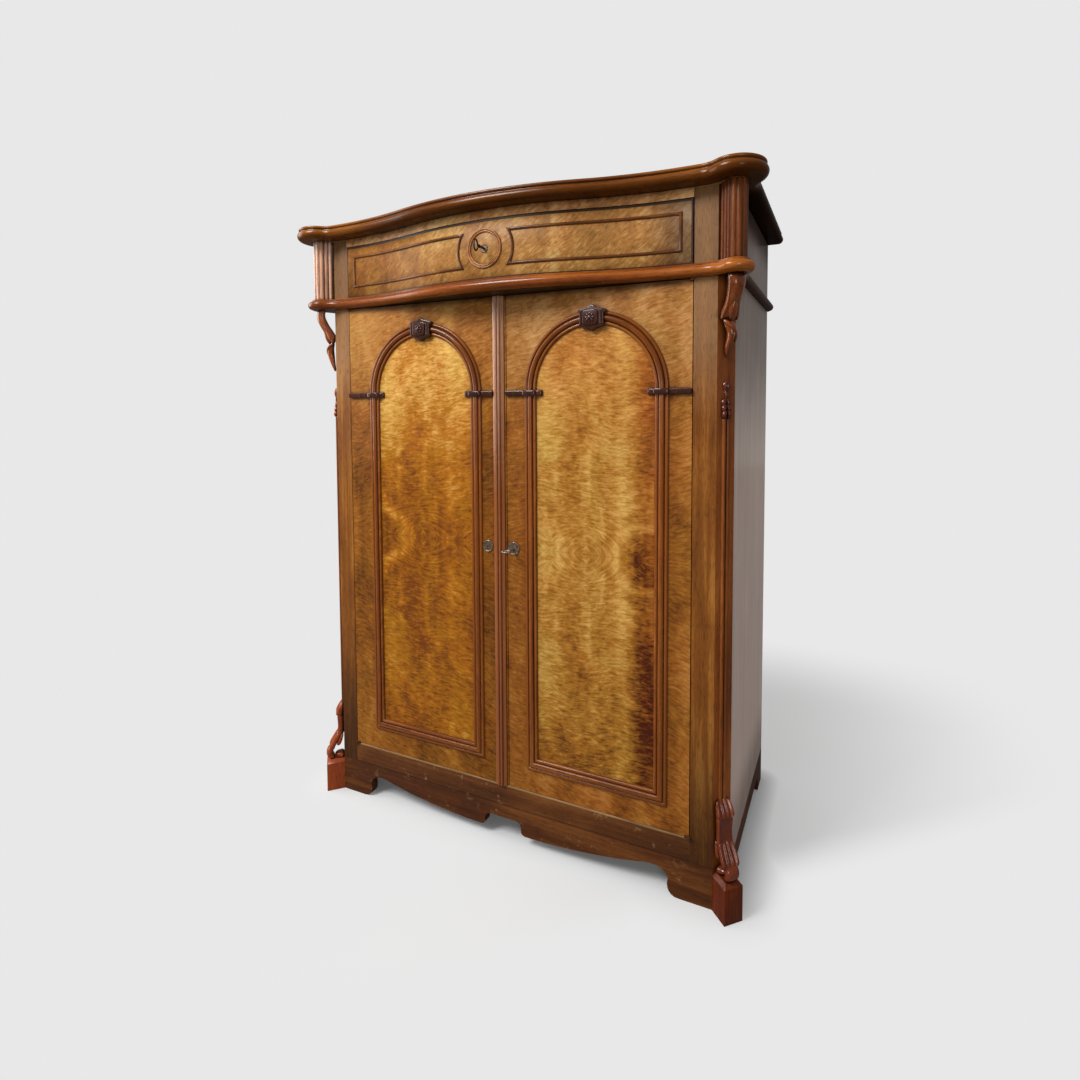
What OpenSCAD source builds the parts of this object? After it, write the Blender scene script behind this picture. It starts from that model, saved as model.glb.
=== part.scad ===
// Two-door linen press with a serpentine top drawer, reeded corner columns and carved corner brackets.
// Millimetres, +Z up, the front faces -Y. The door face is the plane y = 0 before the shift to the centre.

/* [Carcase] */
// width over the two side faces
body_w = 1272; // [1236:2:1320]
// depth from the door face to the back
body_d = 618; // [560:1:660]
// leg of the 45 degree corner cut at the front corners
cant = 36; // [35:1:38]
// depth of the corner posts behind the door face
post_d = 70; // [66:1:78]
// lap of the corner posts behind the stiles
post_lap = 20; // [16:1:24]
// width of the flat stile beside each door
stile_w = 57; // [50:1:64]
// thickness of stiles, rails and plinth front
frame_t = 26; // [25:0.5:28]
// thickness of the side panels
side_t = 20; // [18:1:22]
// thickness of the back boards
back_t = 12; // [10:1:14]
// thickness of the bottom board, dust board and drawer-case top
board_t = 18; // [18:1:22]
// thickness of the shelves
shelf_t = 20; // [18:1:24]

/* [Heights] */
// height of the plinth
plinth_h = 107; // [104:1:112]
// height of the rail under the doors
base_rail_h = 60; // [56:1:66]
// height of the door opening
door_zone_h = 1387; // [1380:1:1400]
// height of the moulded waist
waist_h = 32; // [28:1:36]
// height of the drawer opening
drawer_zone_h = 157; // [152:1:162]
// height of the frieze over the drawer
frieze_h = 23; // [22:1:26]
// height of the cornice
cornice_h = 37; // [33:1:41]

/* [Serpentine front] */
// how far the upper front stands ahead of the doors at the ends of the drawer
front_step = 4; // [4:0.5:6]
// how far the middle of the drawer swells ahead of its ends
bulge = 66; // [40:1:80]
// radius of the corner lobes over the columns
lobe_r = 25; // [24:0.5:25]
// reach of the corner lobes out of the corner cut
lobe_reach = 60; // [58:1:62]
// radius of the hollows beside the lobes
fillet_r = 95; // [88:1:104]
// overhang of the cornice
cornice_out = 46; // [42:1:50]
// overhang of the waist moulding
waist_out = 19; // [17:1:21]

/* [Doors] */
// clearance beside the doors
door_side_gap = 2.2; // [1.8:0.1:3]
// clearance over and under the doors
door_end_gap = 2; // [1.5:0.5:3]
// middle of the meeting gap
meet_x = 23; // [22:0.5:24]
// width of the meeting gap
meet_gap = 2; // [1.8:0.1:2.4]
// clearance between the door backs and the bottom board
door_rest_gap = 0.3; // [0.2:0.1:0.5]
// width of the left door's stiles outside the panel mouldings
door_stile_w = 79.9; // [77:0.1:86]
// distance from the waist down to the springing line
arch_drop = 261; // [254:1:268]
// distance from the base rail up to the panel mouldings
panel_rise = 66; // [58:1:78]
// width of the arch and jamb mouldings
mould_w = 36; // [34:1:38]
// stand of the mouldings off the door face
mould_out = 10; // [9:0.5:12]
// thickness of the door panels
panel_t = 16; // [14:1:18]
// middle of the keystones below the crown of the arches
key_drop = 19; // [15:0.5:23]
// width of the moulding over the meeting gap
astragal_w = 35; // [33:0.5:36]
// distance from that moulding to the edge of its door
astragal_gap = 5.5; // [4:0.5:6]
// height of the escutcheons over the base rail
lock_rise = 687; // [673:1:703]
// least clearance beside the escutcheons
plate_gap = 0.5; // [0.3:0.1:1]
// room left on the far side of the right escutcheon
plate_room = 19.4; // [17:0.5:22]
// room left between the left escutcheon and the meeting moulding
plate_room_left = 5; // [4:0.5:7]
// radius of the pivot eyes
eye_r = 4; // [3.5:0.5:4]
// radius of the pivot pins
pin_r = 2; // [1.8:0.1:2.2]
// radial clearance of pins and bolts that turn or slide in a bore
run_gap = 0.06; // [0.03:0.01:0.08]

/* [Drawer] */
// clearance round the drawer front
drawer_gap = 2; // [1.5:0.5:2.5]
// thickness of the drawer front
front_t = 22; // [20:1:24]
// thickness of the drawer sides
drawer_side_t = 12; // [10:1:14]
// middle of the ring over the middle of the drawer opening
ring_lift = 1.5; // [0:0.5:3]
// outer radius of the ring
ring_r = 53; // [50:1:56]
// width of the beads on the drawer front
bead_w = 9; // [8:0.5:10]
// stand of the beads off the drawer front
bead_out = 4; // [3:0.5:5]
// margin over and under the bead frames
bead_margin = 30; // [26:0.5:34]
// margin at the ends of the bead frames
bead_end = 25; // [20:1:32]
// space between the ring and the bead frames
ring_space = 27; // [20:1:34]
// reach of the drawer key
key_reach = 52; // [48:1:56]

/* [Corners] */
// width of the carved foot scrolls
foot_w = 44; // [40:1:46]
// height of the foot blocks
foot_h = 98; // [94:1:102]
// reach of the foot blocks out of the corner cut
foot_out = 54; // [50:1:58]
// height of the foot scrolls over their blocks
foot_scroll_h = 179; // [165:1:190]
// reach of the upper scrolls out of the corner cut
upper_out = 46; // [42:1:50]
// height of the upper scrolls
upper_h = 188; // [170:1:200]
// width of the upper scrolls
upper_w = 40; // [36:1:42]
// distance from the waist down to the carved drops
drop_top = 245; // [235:1:260]
// height of the carved drops
drop_h = 91; // [80:1:100]
// radius of the beads on the corner cuts
corner_bead_r = 5.3; // [5:0.1:5.4]

/* [Shelves] */
// underside of the lowest shelf over the base rail
shelf_rise = 344; // [320:1:352]
// distance from one shelf to the next
shelf_pitch = 352; // [340:1:360]
// clearance between the corner posts and the shelves
shelf_gap = 2; // [1:1:10]

/* [Hidden] */
$fn = 48;
k = sqrt(0.5);
half_w = body_w / 2;
flat_x = half_w - cant;
door_x = flat_x - stile_w;
in_x = half_w - side_t;
back_y = body_d - back_t;
rail_z = plinth_h + base_rail_h;
waist_z = rail_z + door_zone_h;
deck_z = waist_z + waist_h;
gap_z = deck_z + drawer_zone_h;
frieze_z = gap_z + frieze_h;
top_z = frieze_z + cornice_h;
door_t = frame_t - door_rest_gap;
door_lo = rail_z + door_end_gap;
door_hi = waist_z - door_end_gap;
leaf_x = door_x - door_side_gap;
meet_l = meet_x - meet_gap / 2;
meet_r = meet_x + meet_gap / 2;
arch_left = (meet_l - leaf_x) / 2;
arch_right = (meet_r + leaf_x) / 2;
arch_r = (meet_l + leaf_x) / 2 - door_stile_w;
arch_z = waist_z - arch_drop;
panel_low = rail_z + panel_rise;
key_rise = arch_r - key_drop;
astragal_x = meet_l - astragal_gap - astragal_w / 2;
floor_top = rail_z + 12;
shelf_z = rail_z + shelf_rise;
shelf_y = post_d + shelf_gap;
drawer_mid = deck_z + drawer_zone_h / 2;
ring_z = drawer_mid + ring_lift;
foot_top = foot_h + foot_scroll_h;
drop_low = waist_z - drop_top - drop_h;
shift_y = -(body_d - bulge - front_step - key_reach) / 2;

// plan of the upper front: two equal arcs to the corner, hollow, lobe, hollow, then the side
arc_span = (door_x * door_x + bulge * bulge) / (2 * bulge);
arc_r = arc_span / 2;
arc_phi = asin(door_x / arc_span);
arc_n = 9;
lobe = [flat_x + cant / 2 + k * (lobe_reach - lobe_r), cant / 2 - k * (lobe_reach - lobe_r)];
hollow_a = [lobe[0] - (lobe_r + fillet_r) / k - (-front_step - fillet_r - lobe[1]), -front_step - fillet_r];
hollow_b = [half_w + fillet_r, lobe[1] + (lobe_r + fillet_r) / k - (half_w + fillet_r - lobe[0])];

function dir(a) = [cos(a), sin(a)];
function station(p, a) = [p[0], p[1], a];
function flip(run) = [for (i = [len(run) - 1 : -1 : 0]) [-run[i][0], run[i][1], 180 - run[i][2]]];
function tail(run) = [for (i = [1 : len(run) - 1]) run[i]];
function bow_run() = concat(
    [for (i = [0 : arc_n]) let (a = -90 + arc_phi * i / arc_n)
        [arc_r * cos(a), arc_r * (1 + sin(a)) - bulge - front_step, a]],
    [for (i = [1 : arc_n - 1]) let (a = -90 + arc_phi * (1 - i / arc_n))
        [door_x - arc_r * cos(a), -front_step - arc_r * (1 + sin(a)), a]]);
function corner_run() = concat(
    [for (i = [0 : 5]) let (a = -90 - 9 * i) station(hollow_a - fillet_r * dir(a), a)],
    [for (i = [0 : 12]) let (a = -135 + 15 * i) station(lobe + lobe_r * dir(a), a)],
    [for (i = [0 : 5]) let (a = 45 - 9 * i) station(hollow_b - fillet_r * dir(a), a)]);
function front_run(x) = let (half = concat(bow_run(), [[x, -front_step, -90]])) concat(flip(tail(half)), half);
function inner_run() = let (half = concat(bow_run(), [[door_x, -front_step, -90]], corner_run()))
    concat(flip(tail(half)), half);
function whole_run() = concat([[-half_w, body_d, 180]], inner_run(), [[half_w, body_d, 0]]);
function at(o, run) = [for (s = run) [s[0] + o * cos(s[2]), s[1] + o * sin(s[2])]];
function back(list) = [for (i = [len(list) - 1 : -1 : 0]) list[i]];
function mirrored(list) = [for (p = back(list)) [-p[0], p[1]]];
function arc(c, r, a, b, n) = [for (i = [0 : n]) c + r * dir(a + (b - a) * i / n)];
function bez(p, q, r, n) = [for (i = [0 : n]) let (t = i / n)
    (1 - t) * (1 - t) * p + 2 * t * (1 - t) * q + t * t * r];
function shifted(list, d) = [for (p = list) p + d];
// points scaled by s and then moved up by z
function fitted(list, s, z) = [for (p = list) [p[0] * s[0], z + p[1] * s[1]]];

module in_frame() {
    translate([0, shift_y, 0]) children();
}

module both() {
    children();
    mirror([1, 0, 0]) children();
}

// +X points out of the corner cut, +Y along it towards the side, origin at its middle
module on_cant() {
    translate([flat_x + cant / 2, cant / 2, 0]) rotate([0, 0, -45]) children();
}

// a flat shape drawn in x and z, from y on, t thick
module slab(y, t) {
    translate([0, y + t, 0]) rotate([90, 0, 0]) linear_extrude(t) children();
}

module level(z, h) {
    translate([0, 0, z]) linear_extrude(h) children();
}

// a shape drawn outwards and up on the corner cut, w wide
module carving(w) {
    rotate([90, 0, 0]) linear_extrude(w, center = true) children();
}

// a shape drawn across and up on the corner cut, t deep
module badge(t) {
    rotate([90, 0, 90]) linear_extrude(t) children();
}

module sweep(profile, run) {
    m = len(profile);
    n = len(run);
    polyhedron(
        points = [for (s = run) for (p = profile) [s[0] + p[0] * cos(s[2]), s[1] + p[0] * sin(s[2]), p[1]]],
        faces = concat(
            [for (i = [0 : n - 2]) for (j = [0 : m - 1])
                [i * m + j, i * m + (j + 1) % m, (i + 1) * m + (j + 1) % m, (i + 1) * m + j]],
            [[for (j = [m - 1 : -1 : 0]) j]],
            [[for (j = [0 : m - 1]) (n - 1) * m + j]]));
}

// pivots: eye in front of the door edge, arm running back into the wood
pivot = [door_x - 1, -eye_r];
arm_in = 12;
pivot_t = 3;

module pivot_shape() {
    translate(pivot) circle(eye_r);
    polygon([[leaf_x - arm_in, 0], [pivot[0] - 3.2, pivot[1] - 1.8], [leaf_x, pivot[1] + 1.5],
        [leaf_x, 20], [leaf_x - arm_in, 20]]);
}

module pivot_pocket(z) {
    translate([leaf_x - arm_in, -eye_r * 2 - 1, z]) cube([arm_in + 6, 21 + eye_r * 2, pivot_t]);
}

module post_shape() {
    polygon([[flat_x, 0], [half_w, cant], [in_x, cant], [in_x, post_d], [flat_x - post_lap, post_d],
        [flat_x - post_lap, frame_t], [flat_x, frame_t]]);
}

module board_shape() {
    x = flat_x - post_lap;
    polygon([[-x, frame_t], [x, frame_t], [x, post_d], [in_x, post_d], [in_x, back_y], [-in_x, back_y],
        [-in_x, post_d], [-x, post_d]]);
}

// carcase

module side_panel() {
    in_frame() difference() {
        translate([in_x, cant, plinth_h]) cube([side_t, body_d - cant, frieze_z - plinth_h]);
        translate([in_x - 1, back_y, plinth_h - 1]) cube([side_t / 2 + 1, back_t + 1, frieze_z]);
    }
}

module right_side_panel() {
    color("peru") side_panel();
}

module left_side_panel() {
    color("peru") mirror([1, 0, 0]) side_panel();
}

module stile() {
    in_frame() translate([door_x, 0, plinth_h]) cube([stile_w, frame_t, frieze_z - plinth_h]);
}

module right_stile() {
    color("peru") stile();
}

module left_stile() {
    color("peru") mirror([1, 0, 0]) stile();
}

module canted_posts() {
    color("sienna") in_frame() both() level(0, frieze_z) post_shape();
}

module bottom_board() {
    color("burlywood") in_frame() difference() {
        level(floor_top - board_t, board_t) board_shape();
        translate([bolt_x, bolt_y, floor_top - board_t - 1]) cylinder(r = bolt_r + 0.4, h = board_t + 2);
    }
}

module dust_board() {
    color("burlywood") in_frame() difference() {
        level(deck_z - board_t, board_t) board_shape();
        translate([bolt_x, bolt_y, deck_z - board_t - 1]) cylinder(r = bolt_r + 0.4, h = board_t + 2);
    }
}

module top_board() {
    color("burlywood") in_frame() level(frieze_z, 22) polygon(at(0, whole_run()));
}

module back_panel() {
    board = in_x + side_t / 2;
    color("burlywood") in_frame() difference() {
        translate([-board, back_y, plinth_h]) cube([board * 2, back_t, frieze_z - plinth_h]);
        for (i = [-3 : 3])
            translate([i * board / 4, body_d, plinth_h - 1]) rotate([0, 0, 45])
                cube([4, 4, 2 * frieze_z], center = true);
    }
}

module base_rail() {
    color("saddlebrown") in_frame() difference() {
        translate([-door_x, 0, plinth_h]) cube([door_x * 2, frame_t, base_rail_h]);
        both() pivot_pocket(rail_z - pivot_t);
    }
}

// front apron, from the middle notch to the foot
module plinth_front() {
    foot = flat_x - 86;
    notch = concat([[38, 69]], bez([44, 69], [58, 66], [60, 52], 5), bez([60, 40], [62, 31], [76, 31], 4));
    apron = concat(bez([130, 32], [foot - 224, 40], [foot - 98, 67], 8),
        bez([foot - 90, 69], [foot - 36, 78], [foot - 27, 46], 6), bez([foot - 29, 30], [foot - 28, 2], [foot, 0], 5));
    half = concat(fitted(concat(notch, apron), [1, plinth_h / 107], 0), [[flat_x, 0], [flat_x, plinth_h]]);
    color("saddlebrown") in_frame() slab(0, frame_t) polygon(concat(half, mirrored(half)));
}

module plinth_sides() {
    color("saddlebrown") in_frame() both() translate([in_x, 0, 0]) rotate([90, 0, 90]) linear_extrude(side_t)
        polygon(concat([[cant, 0], [cant + 34, 0]], bez([cant + 48, 6], [cant + 52, 52], [cant + 94, 53], 6),
            bez([body_d - 98, 53], [body_d - 78, 40], [body_d - 74, 0], 5),
            [[body_d, 0], [body_d, plinth_h], [cant, plinth_h]]));
}

module plinth_back() {
    half = concat(bez([in_x - 186, 53], [in_x - 96, 50], [in_x - 80, 0], 6), [[in_x, 0], [in_x, plinth_h]]);
    color("burlywood") in_frame() slab(body_d - board_t, board_t) polygon(concat(half, mirrored(half)));
}

module foot_blocks() {
    half = foot_w / 2 + 4;
    color("maroon") in_frame() both() on_cant() intersection() {
        carving(foot_w + 8) polygon([[0, 0], [foot_out, 0], [foot_out, foot_h - 9], [foot_out - 9, foot_h],
            [0, foot_h]]);
        badge(foot_out) polygon([[-half, 0], [half, 0], [half, foot_h - 9], [half - 9, foot_h],
            [9 - half, foot_h], [-half, foot_h - 9]]);
    }
}

// front line of the foot scroll, from the tip of the beak down to the block
function foot_line() = concat(bez([2, 179], [6, 154], [21, 144], 4), bez([16, 132], [9, 107], [17, 74], 5),
    bez([22, 58], [44, 42], [53, 13], 6), [[53, 0]]);

module foot_scrolls() {
    s = [foot_out / 54, foot_scroll_h / 179];
    line = fitted(foot_line(), s, foot_h);
    window = concat([[-1, 73]], bez([4, 66], [15, 42], [24, 24], 4), bez([26, 14], [12, 7], [-1, 7], 4));
    waist = concat([[-1, 192], [30, 192], [30, 145]], bez([12, 134], [5, 102], [12, 80], 5), [[-1, 80]]);
    color("maroon") in_frame() both() on_cant() difference() {
        carving(foot_w) polygon(concat([[0, foot_h], [0, foot_top]], line));
        carving(foot_w + 2) polygon(fitted(window, s, foot_h));
        for (v = [-foot_w / 4, 0, foot_w / 4])
            translate([0, v, 0]) carving(3.4)
                polygon(concat(shifted(line, [3, 0]), back(shifted(line, [-4, 0]))));
        for (side = [-1, 1])
            translate([0, side * (foot_w / 2 + 4), 0]) carving(14) polygon(fitted(waist, s, foot_h));
    }
}

// bracket and tail, measured down from the waist
module upper_scrolls() {
    s = [upper_out / 46, upper_h / 188];
    outer = concat([[46, 0]], bez([50, -18], [46, -37], [31, -60], 4), bez([23, -68], [27, -90], [14, -100], 4),
        [[0, -114]]);
    inner = concat([[0, -104]], bez([8, -96], [12, -76], [18, -67], 4), bez([32, -52], [40, -35], [36, 0], 4));
    curl = concat([[0, -103]], bez([6, -114], [16, -142], [10, -167], 5), [[2, -188], [0, -188]]);
    half = concat([[20, 0]], bez([20, -24], [12, -54], [11, -74], 5), bez([12, -86], [17, -88], [17, -96], 3),
        bez([16, -110], [9, -114], [9, -129], 3), bez([9, -154], [6, -174], [1, -188], 4));
    color("maroon") in_frame() both() on_cant() intersection() {
        union() {
            carving(upper_w + 2) polygon(fitted(concat(outer, inner), s, waist_z));
            carving(upper_w + 2) polygon(fitted(curl, s, waist_z));
        }
        badge(upper_out + 14) polygon(fitted(concat(half, mirrored(half)), [upper_w / 40, s[1]], waist_z));
    }
}

// lozenge, stem and three scale leaves, measured down from the top
module corner_drops() {
    s = [1, drop_h / 91];
    z = waist_z - drop_top;
    color("maroon") in_frame() both() on_cant() {
        badge(5) polygon(fitted([[0, 0], [6, -12], [0, -25], [-6, -12]], s, z));
        badge(3) polygon(fitted([[-2, -23], [-2, -51], [2, -51], [2, -23]], s, z));
        for (i = [0 : 2])
            badge(4 + 1.5 * i) polygon(fitted(shifted(concat([[0, -45]], bez([7, -51], [9, -59], [0, -65], 5),
                bez([-9, -59], [-9, -57], [-7, -51], 3)), [0, -13 * i]), s, z));
    }
}

module corner_beads() {
    low = foot_top + 1;
    color("sienna") in_frame() both() on_cant() translate([0, 0, low]) linear_extrude(drop_low - 1 - low)
        for (side = [-1, 1])
            polygon(arc([0, side * (corner_bead_r + 0.2)], corner_bead_r, -90, 90, 12));
}

// reeds stand round the lobe and down its two straight flanks
module corner_columns() {
    line_r = lobe_r - 6;
    pitch = PI * line_r / 5;
    reach = lobe_reach - lobe_r;
    crest = 6.3;
    flank_a = [for (i = [2 : -1 : 1]) [reach - pitch * i, -line_r, -90]];
    nose = [for (i = [0 : 5]) [reach + line_r * cos(-90 + 36 * i), line_r * sin(-90 + 36 * i), -90 + 36 * i]];
    flank_b = [for (i = [1 : 2]) [reach - pitch * i, line_r, 90]];
    reeds = concat(flank_a, nose, flank_b);
    color("maroon") in_frame() both() on_cant() level(deck_z, frieze_z - deck_z)
        polygon(concat([[0, -line_r]], [for (r = reeds) for (a = [-70 : 20 : 70])
            [r[0] + crest * cos(r[2] + a), r[1] + crest * sin(r[2] + a)]], [[0, line_r]]));
}

module waist_rail() {
    color("sienna") in_frame() difference() {
        level(waist_z, waist_h) polygon(concat(at(0, inner_run()), [[half_w, cant], [flat_x, 0], [door_x, 0],
            [door_x, frame_t], [-door_x, frame_t], [-door_x, 0], [-flat_x, 0], [-half_w, cant]]));
        both() pivot_pocket(waist_z);
    }
}

module waist_moulding() {
    profile = concat([[0, 0], [5, 0]], arc([7, 14], 12, -75, 75, 8), [[6, 27.5], [6, 32], [0, 32]]);
    color("maroon") in_frame() difference() {
        sweep(fitted(profile, [waist_out / 19, waist_h / 32], waist_z), whole_run());
        both() pivot_pocket(waist_z);
    }
}

module frieze_rail() {
    color("peru") in_frame() difference() {
        level(gap_z, frieze_h) polygon(concat(at(0, front_run(door_x)), [[door_x, frame_t], [-door_x, frame_t]]));
        translate([0, lock_y, gap_z - 1]) cube([drawer_bolt_w + 1, 9, 30], center = true);
    }
}

module cornice_moulding() {
    profile = concat([[0, 0]], arc([32, 14], 14, -90, 50, 7),
        [[38, 25.7], [38.2, 27.5], [40.6, 28.8], [41.5, 32], [40.6, 35.2], [38, 37], [0, 37]]);
    color("maroon") in_frame() sweep(fitted(profile, [cornice_out / 46, cornice_h / 37], frieze_z), whole_run());
}

runner_in = 36;

// runners and guides on the dust board, kickers under the top board
module drawer_runners() {
    color("burlywood") in_frame() both() {
        translate([door_x - runner_in, frame_t, deck_z]) cube([runner_in + 20, back_y - frame_t, 6]);
        translate([drawer_x + 0.5, frame_t, deck_z + 6]) cube([door_x + 20 - drawer_x - 0.5, back_y - frame_t, 22]);
        translate([door_x - runner_in, frame_t, gap_z]) cube([runner_in + 20, back_y - frame_t, frieze_h]);
    }
}

module shelf(i) {
    color("burlywood") in_frame() translate([-in_x, shelf_y, shelf_z + i * shelf_pitch])
        cube([in_x * 2, back_y - shelf_y, shelf_t]);
}

module lower_shelf() {
    shelf(0);
}

module middle_shelf() {
    shelf(1);
}

module upper_shelf() {
    shelf(2);
}

module shelf_battens() {
    color("burlywood") in_frame() both() for (i = [0 : 2])
        translate([in_x - 20, shelf_y, shelf_z + i * shelf_pitch - 22]) cube([20, back_y - shelf_y, 22]);
}

module pivot_plates() {
    color("dimgray") in_frame() both() {
        level(rail_z - pivot_t, pivot_t) pivot_shape();
        translate([pivot[0], pivot[1], rail_z - 1]) cylinder(r = eye_r, h = door_end_gap + 1);
        translate([pivot[0], pivot[1], rail_z - 1]) cylinder(r = pin_r, h = door_end_gap + 1 + pivot_t);
        level(waist_z, pivot_t) pivot_shape();
        translate([pivot[0], pivot[1], door_hi]) cylinder(r = eye_r, h = door_end_gap + 1);
        translate([pivot[0], pivot[1], door_hi - pivot_t]) cylinder(r = pin_r, h = door_end_gap + 1 + pivot_t);
    }
}

// doors

function arch_line(cx, r, low) = concat([[cx - r, low], [cx + r, low]], arc([cx, arch_z], r, 0, 180, 36));

module door_pivot_pockets() {
    for (z = [door_lo - 1, door_hi - pivot_t])
        translate([leaf_x - arm_in, -1, z]) cube([arm_in + 1, 21, pivot_t + 1]);
}

module door_frame(x0, x1, cx) {
    r = arch_r - mould_w / 2;
    in_frame() difference() {
        slab(0, door_t) polygon([[x0, door_lo], [x1, door_lo], [x1, door_hi], [x0, door_hi]]);
        slab(-1, door_t + 2) polygon(arch_line(cx, r, panel_low + mould_w / 2));
        slab(panel_t / 2, door_t) polygon(arch_line(cx, r + 10, panel_low + mould_w / 2 - 10));
        if (cx > 0)
            door_pivot_pockets();
        else
            mirror([1, 0, 0]) door_pivot_pockets();
    }
}

module door_panel(cx) {
    r = arch_r - mould_w / 2;
    low = panel_low + mould_w / 2;
    in_frame() {
        slab(0, panel_t / 2) polygon(arch_line(cx, r - 0.2, low + 0.2));
        slab(panel_t / 2, panel_t / 2) polygon(arch_line(cx, r + 9.8, low - 9.8));
    }
}

// beads drawn from the inner edge outwards: small, large, small
function bead_line() = concat([[0, 0]], arc([mould_w * 0.15, 1], mould_w * 0.14, 180, 0, 5),
    arc([mould_w / 2, mould_out - 7.6], 7.6, 180, 0, 8), arc([mould_w * 0.85, 1], mould_w * 0.14, 180, 0, 5),
    [[mould_w, 0]]);

module keystone_shape(cx, grow) {
    half = [[0, 34.5 + grow], [10, 27 + grow], [38, 20 + grow], [39 + grow, 14], [33 + grow, 0], [35 + grow, -18],
        [30, -23 - grow], [12, -27 - grow], [0.1, -34.5 - grow]];
    translate([cx, arch_z + key_rise])
        polygon(concat(tail(half), back([for (p = tail(half)) [-p[0], p[1]]]), [half[0]]));
}

module arch_moulding(cx) {
    in_frame() difference() {
        translate([cx, 0, arch_z]) rotate([90, 0, 0]) rotate_extrude(angle = 180, $fn = 96)
            polygon([for (p = bead_line()) [arch_r - mould_w + p[0], p[1]]]);
        slab(-20, 21) keystone_shape(cx, 0);
    }
}

// one straight moulding: inner edge on z = 0, outer edge below it, mitred at both ends when told;
// the mitres lap a little so that the runs stay one piece
mitre_lap = 0.05;

module straight_bead(length, mitre_a, mitre_b) {
    intersection() {
        rotate([90, 0, 90]) linear_extrude(length)
            polygon([for (p = bead_line()) [-p[1], -p[0]]]);
        slab(-20, 21) polygon([[mitre_a * mould_w - mitre_lap, 0], [-mitre_lap, -mould_w],
            [length + mitre_lap, -mould_w], [length - mitre_b * mould_w + mitre_lap, 0]]);
    }
}

module jamb_moulding(cx) {
    tall = arch_z - 16 - panel_low;
    in_frame() {
        translate([cx - arch_r, 0, panel_low + mould_w]) straight_bead(arch_r * 2, 1, 1);
        translate([cx - arch_r + mould_w, 0, arch_z - 16]) rotate([0, 90, 0]) straight_bead(tall, 0, 1);
        translate([cx + arch_r - mould_w, 0, panel_low]) rotate([0, -90, 0]) straight_bead(tall, 1, 0);
    }
}

// half-round bars on the springing line, with a deeper collar over the moulding
module capital_bar(x0, x1) {
    translate([x0, 0, arch_z - 8]) rotate([90, 0, 90]) linear_extrude(x1 - x0)
        polygon(arc([0, 0], 8, 90, 270, 10));
}

module capital_side(cx, s, x_end) {
    inner = cx + s * (arch_r - mould_w - 18);
    collar = cx + s * (arch_r - mould_w / 2);
    capital_bar(min(inner, x_end), max(inner, x_end));
    translate([collar, 0, arch_z - 8]) rotate([0, 90, 0]) linear_extrude(mould_w + 4, center = true)
        polygon([[8, 0], [8, -6], [5, -12], [0, -15], [-5, -12], [-8, -6], [-8, 0]]);
    translate([inner, 0, arch_z - 8]) rotate([90, 0, 0]) cylinder(r = 9, h = 6);
}

module keystone(cx) {
    in_frame() {
        slab(-13, 13) keystone_shape(cx, 0);
        slab(-16, 3) translate([cx, arch_z + key_rise]) polygon([[-26, 16], [26, 16], [22, -16], [-22, -16]]);
        translate([cx - 3, -16, arch_z + key_rise - 1]) rotate([90, 0, 0]) cylinder(r = 10, h = 2.5);
        translate([cx - 3, -18.5, arch_z + key_rise - 1]) rotate([90, 0, 0]) cylinder(r = 5, h = 2);
    }
}

// disc with a round-headed keyhole through it
module escutcheon(cx, cz, r) {
    difference() {
        translate([cx, 0, cz]) rotate([90, 0, 0]) cylinder(r = r, h = 1.6);
        translate([cx, 1, cz]) rotate([90, 0, 0]) cylinder(r = hole_r, h = 4);
        translate([cx - 1.5, -3, cz - 9]) cube([3, 5, 9]);
    }
}

module keyhole(cx, cz, y, t) {
    translate([cx, y + t, cz]) rotate([90, 0, 0]) cylinder(r = hole_r, h = t);
    translate([cx - 1.5, y, cz - 9]) cube([3, t, 9]);
}

// locks and bolts
shank_r = 3;
hole_r = shank_r + run_gap;
bit_r = 8.6;
lock_z = rail_z + lock_rise;
right_plate_r = (arch_right - arch_r - meet_r - plate_gap - plate_room) / 2;
left_plate_r = (astragal_x - astragal_w / 2 - arch_left - arch_r - plate_gap - plate_room_left) / 2;
right_lock_x = meet_r + plate_gap + right_plate_r;
left_lock_x = arch_left + arch_r + plate_gap + left_plate_r;
case_y = door_t;
upper_bolt_h = 219.5;
lower_bolt_h = 180;
knob_rise = 96;
bolt_x = -20;
bolt_r = 4;
bolt_y = door_t + 10;
drawer_x = door_x - drawer_gap;
drawer_lo = deck_z + drawer_gap;
drawer_hi = gap_z - drawer_gap;
face_y = -bulge - front_step;
lock_y = face_y + front_t - 6;
drawer_bolt_w = 24;

module left_door_frame() {
    color("peru") door_frame(-leaf_x, meet_l, arch_left);
}

module left_door_panel() {
    color("goldenrod") door_panel(arch_left);
}

module left_arch_moulding() {
    color("maroon") arch_moulding(arch_left);
}

module left_jamb_moulding() {
    color("maroon") jamb_moulding(arch_left);
}

module left_capitals() {
    color("maroon") in_frame() {
        capital_side(arch_left, -1, -leaf_x);
        capital_side(arch_left, 1, astragal_x - astragal_w / 2);
    }
}

module left_keystone() {
    color("black") keystone(arch_left);
}

// two beads between sloping flanks
module astragal() {
    edge = astragal_w / 2;
    bead_x = astragal_w * 0.13;
    color("maroon") in_frame() translate([astragal_x, 0, 0]) level(door_lo, door_hi - door_lo)
        polygon(concat([[-edge, 0], [-edge, -3], [8 - edge, -7]], arc([-bead_x, -8], 4, 190, 340, 8),
            arc([bead_x, -8], 4, 200, 350, 8), [[edge - 8, -7], [edge, -3], [edge, 0]]));
}

module left_escutcheon() {
    color("dimgray") in_frame() escutcheon(left_lock_x, lock_z, left_plate_r);
}

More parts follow.
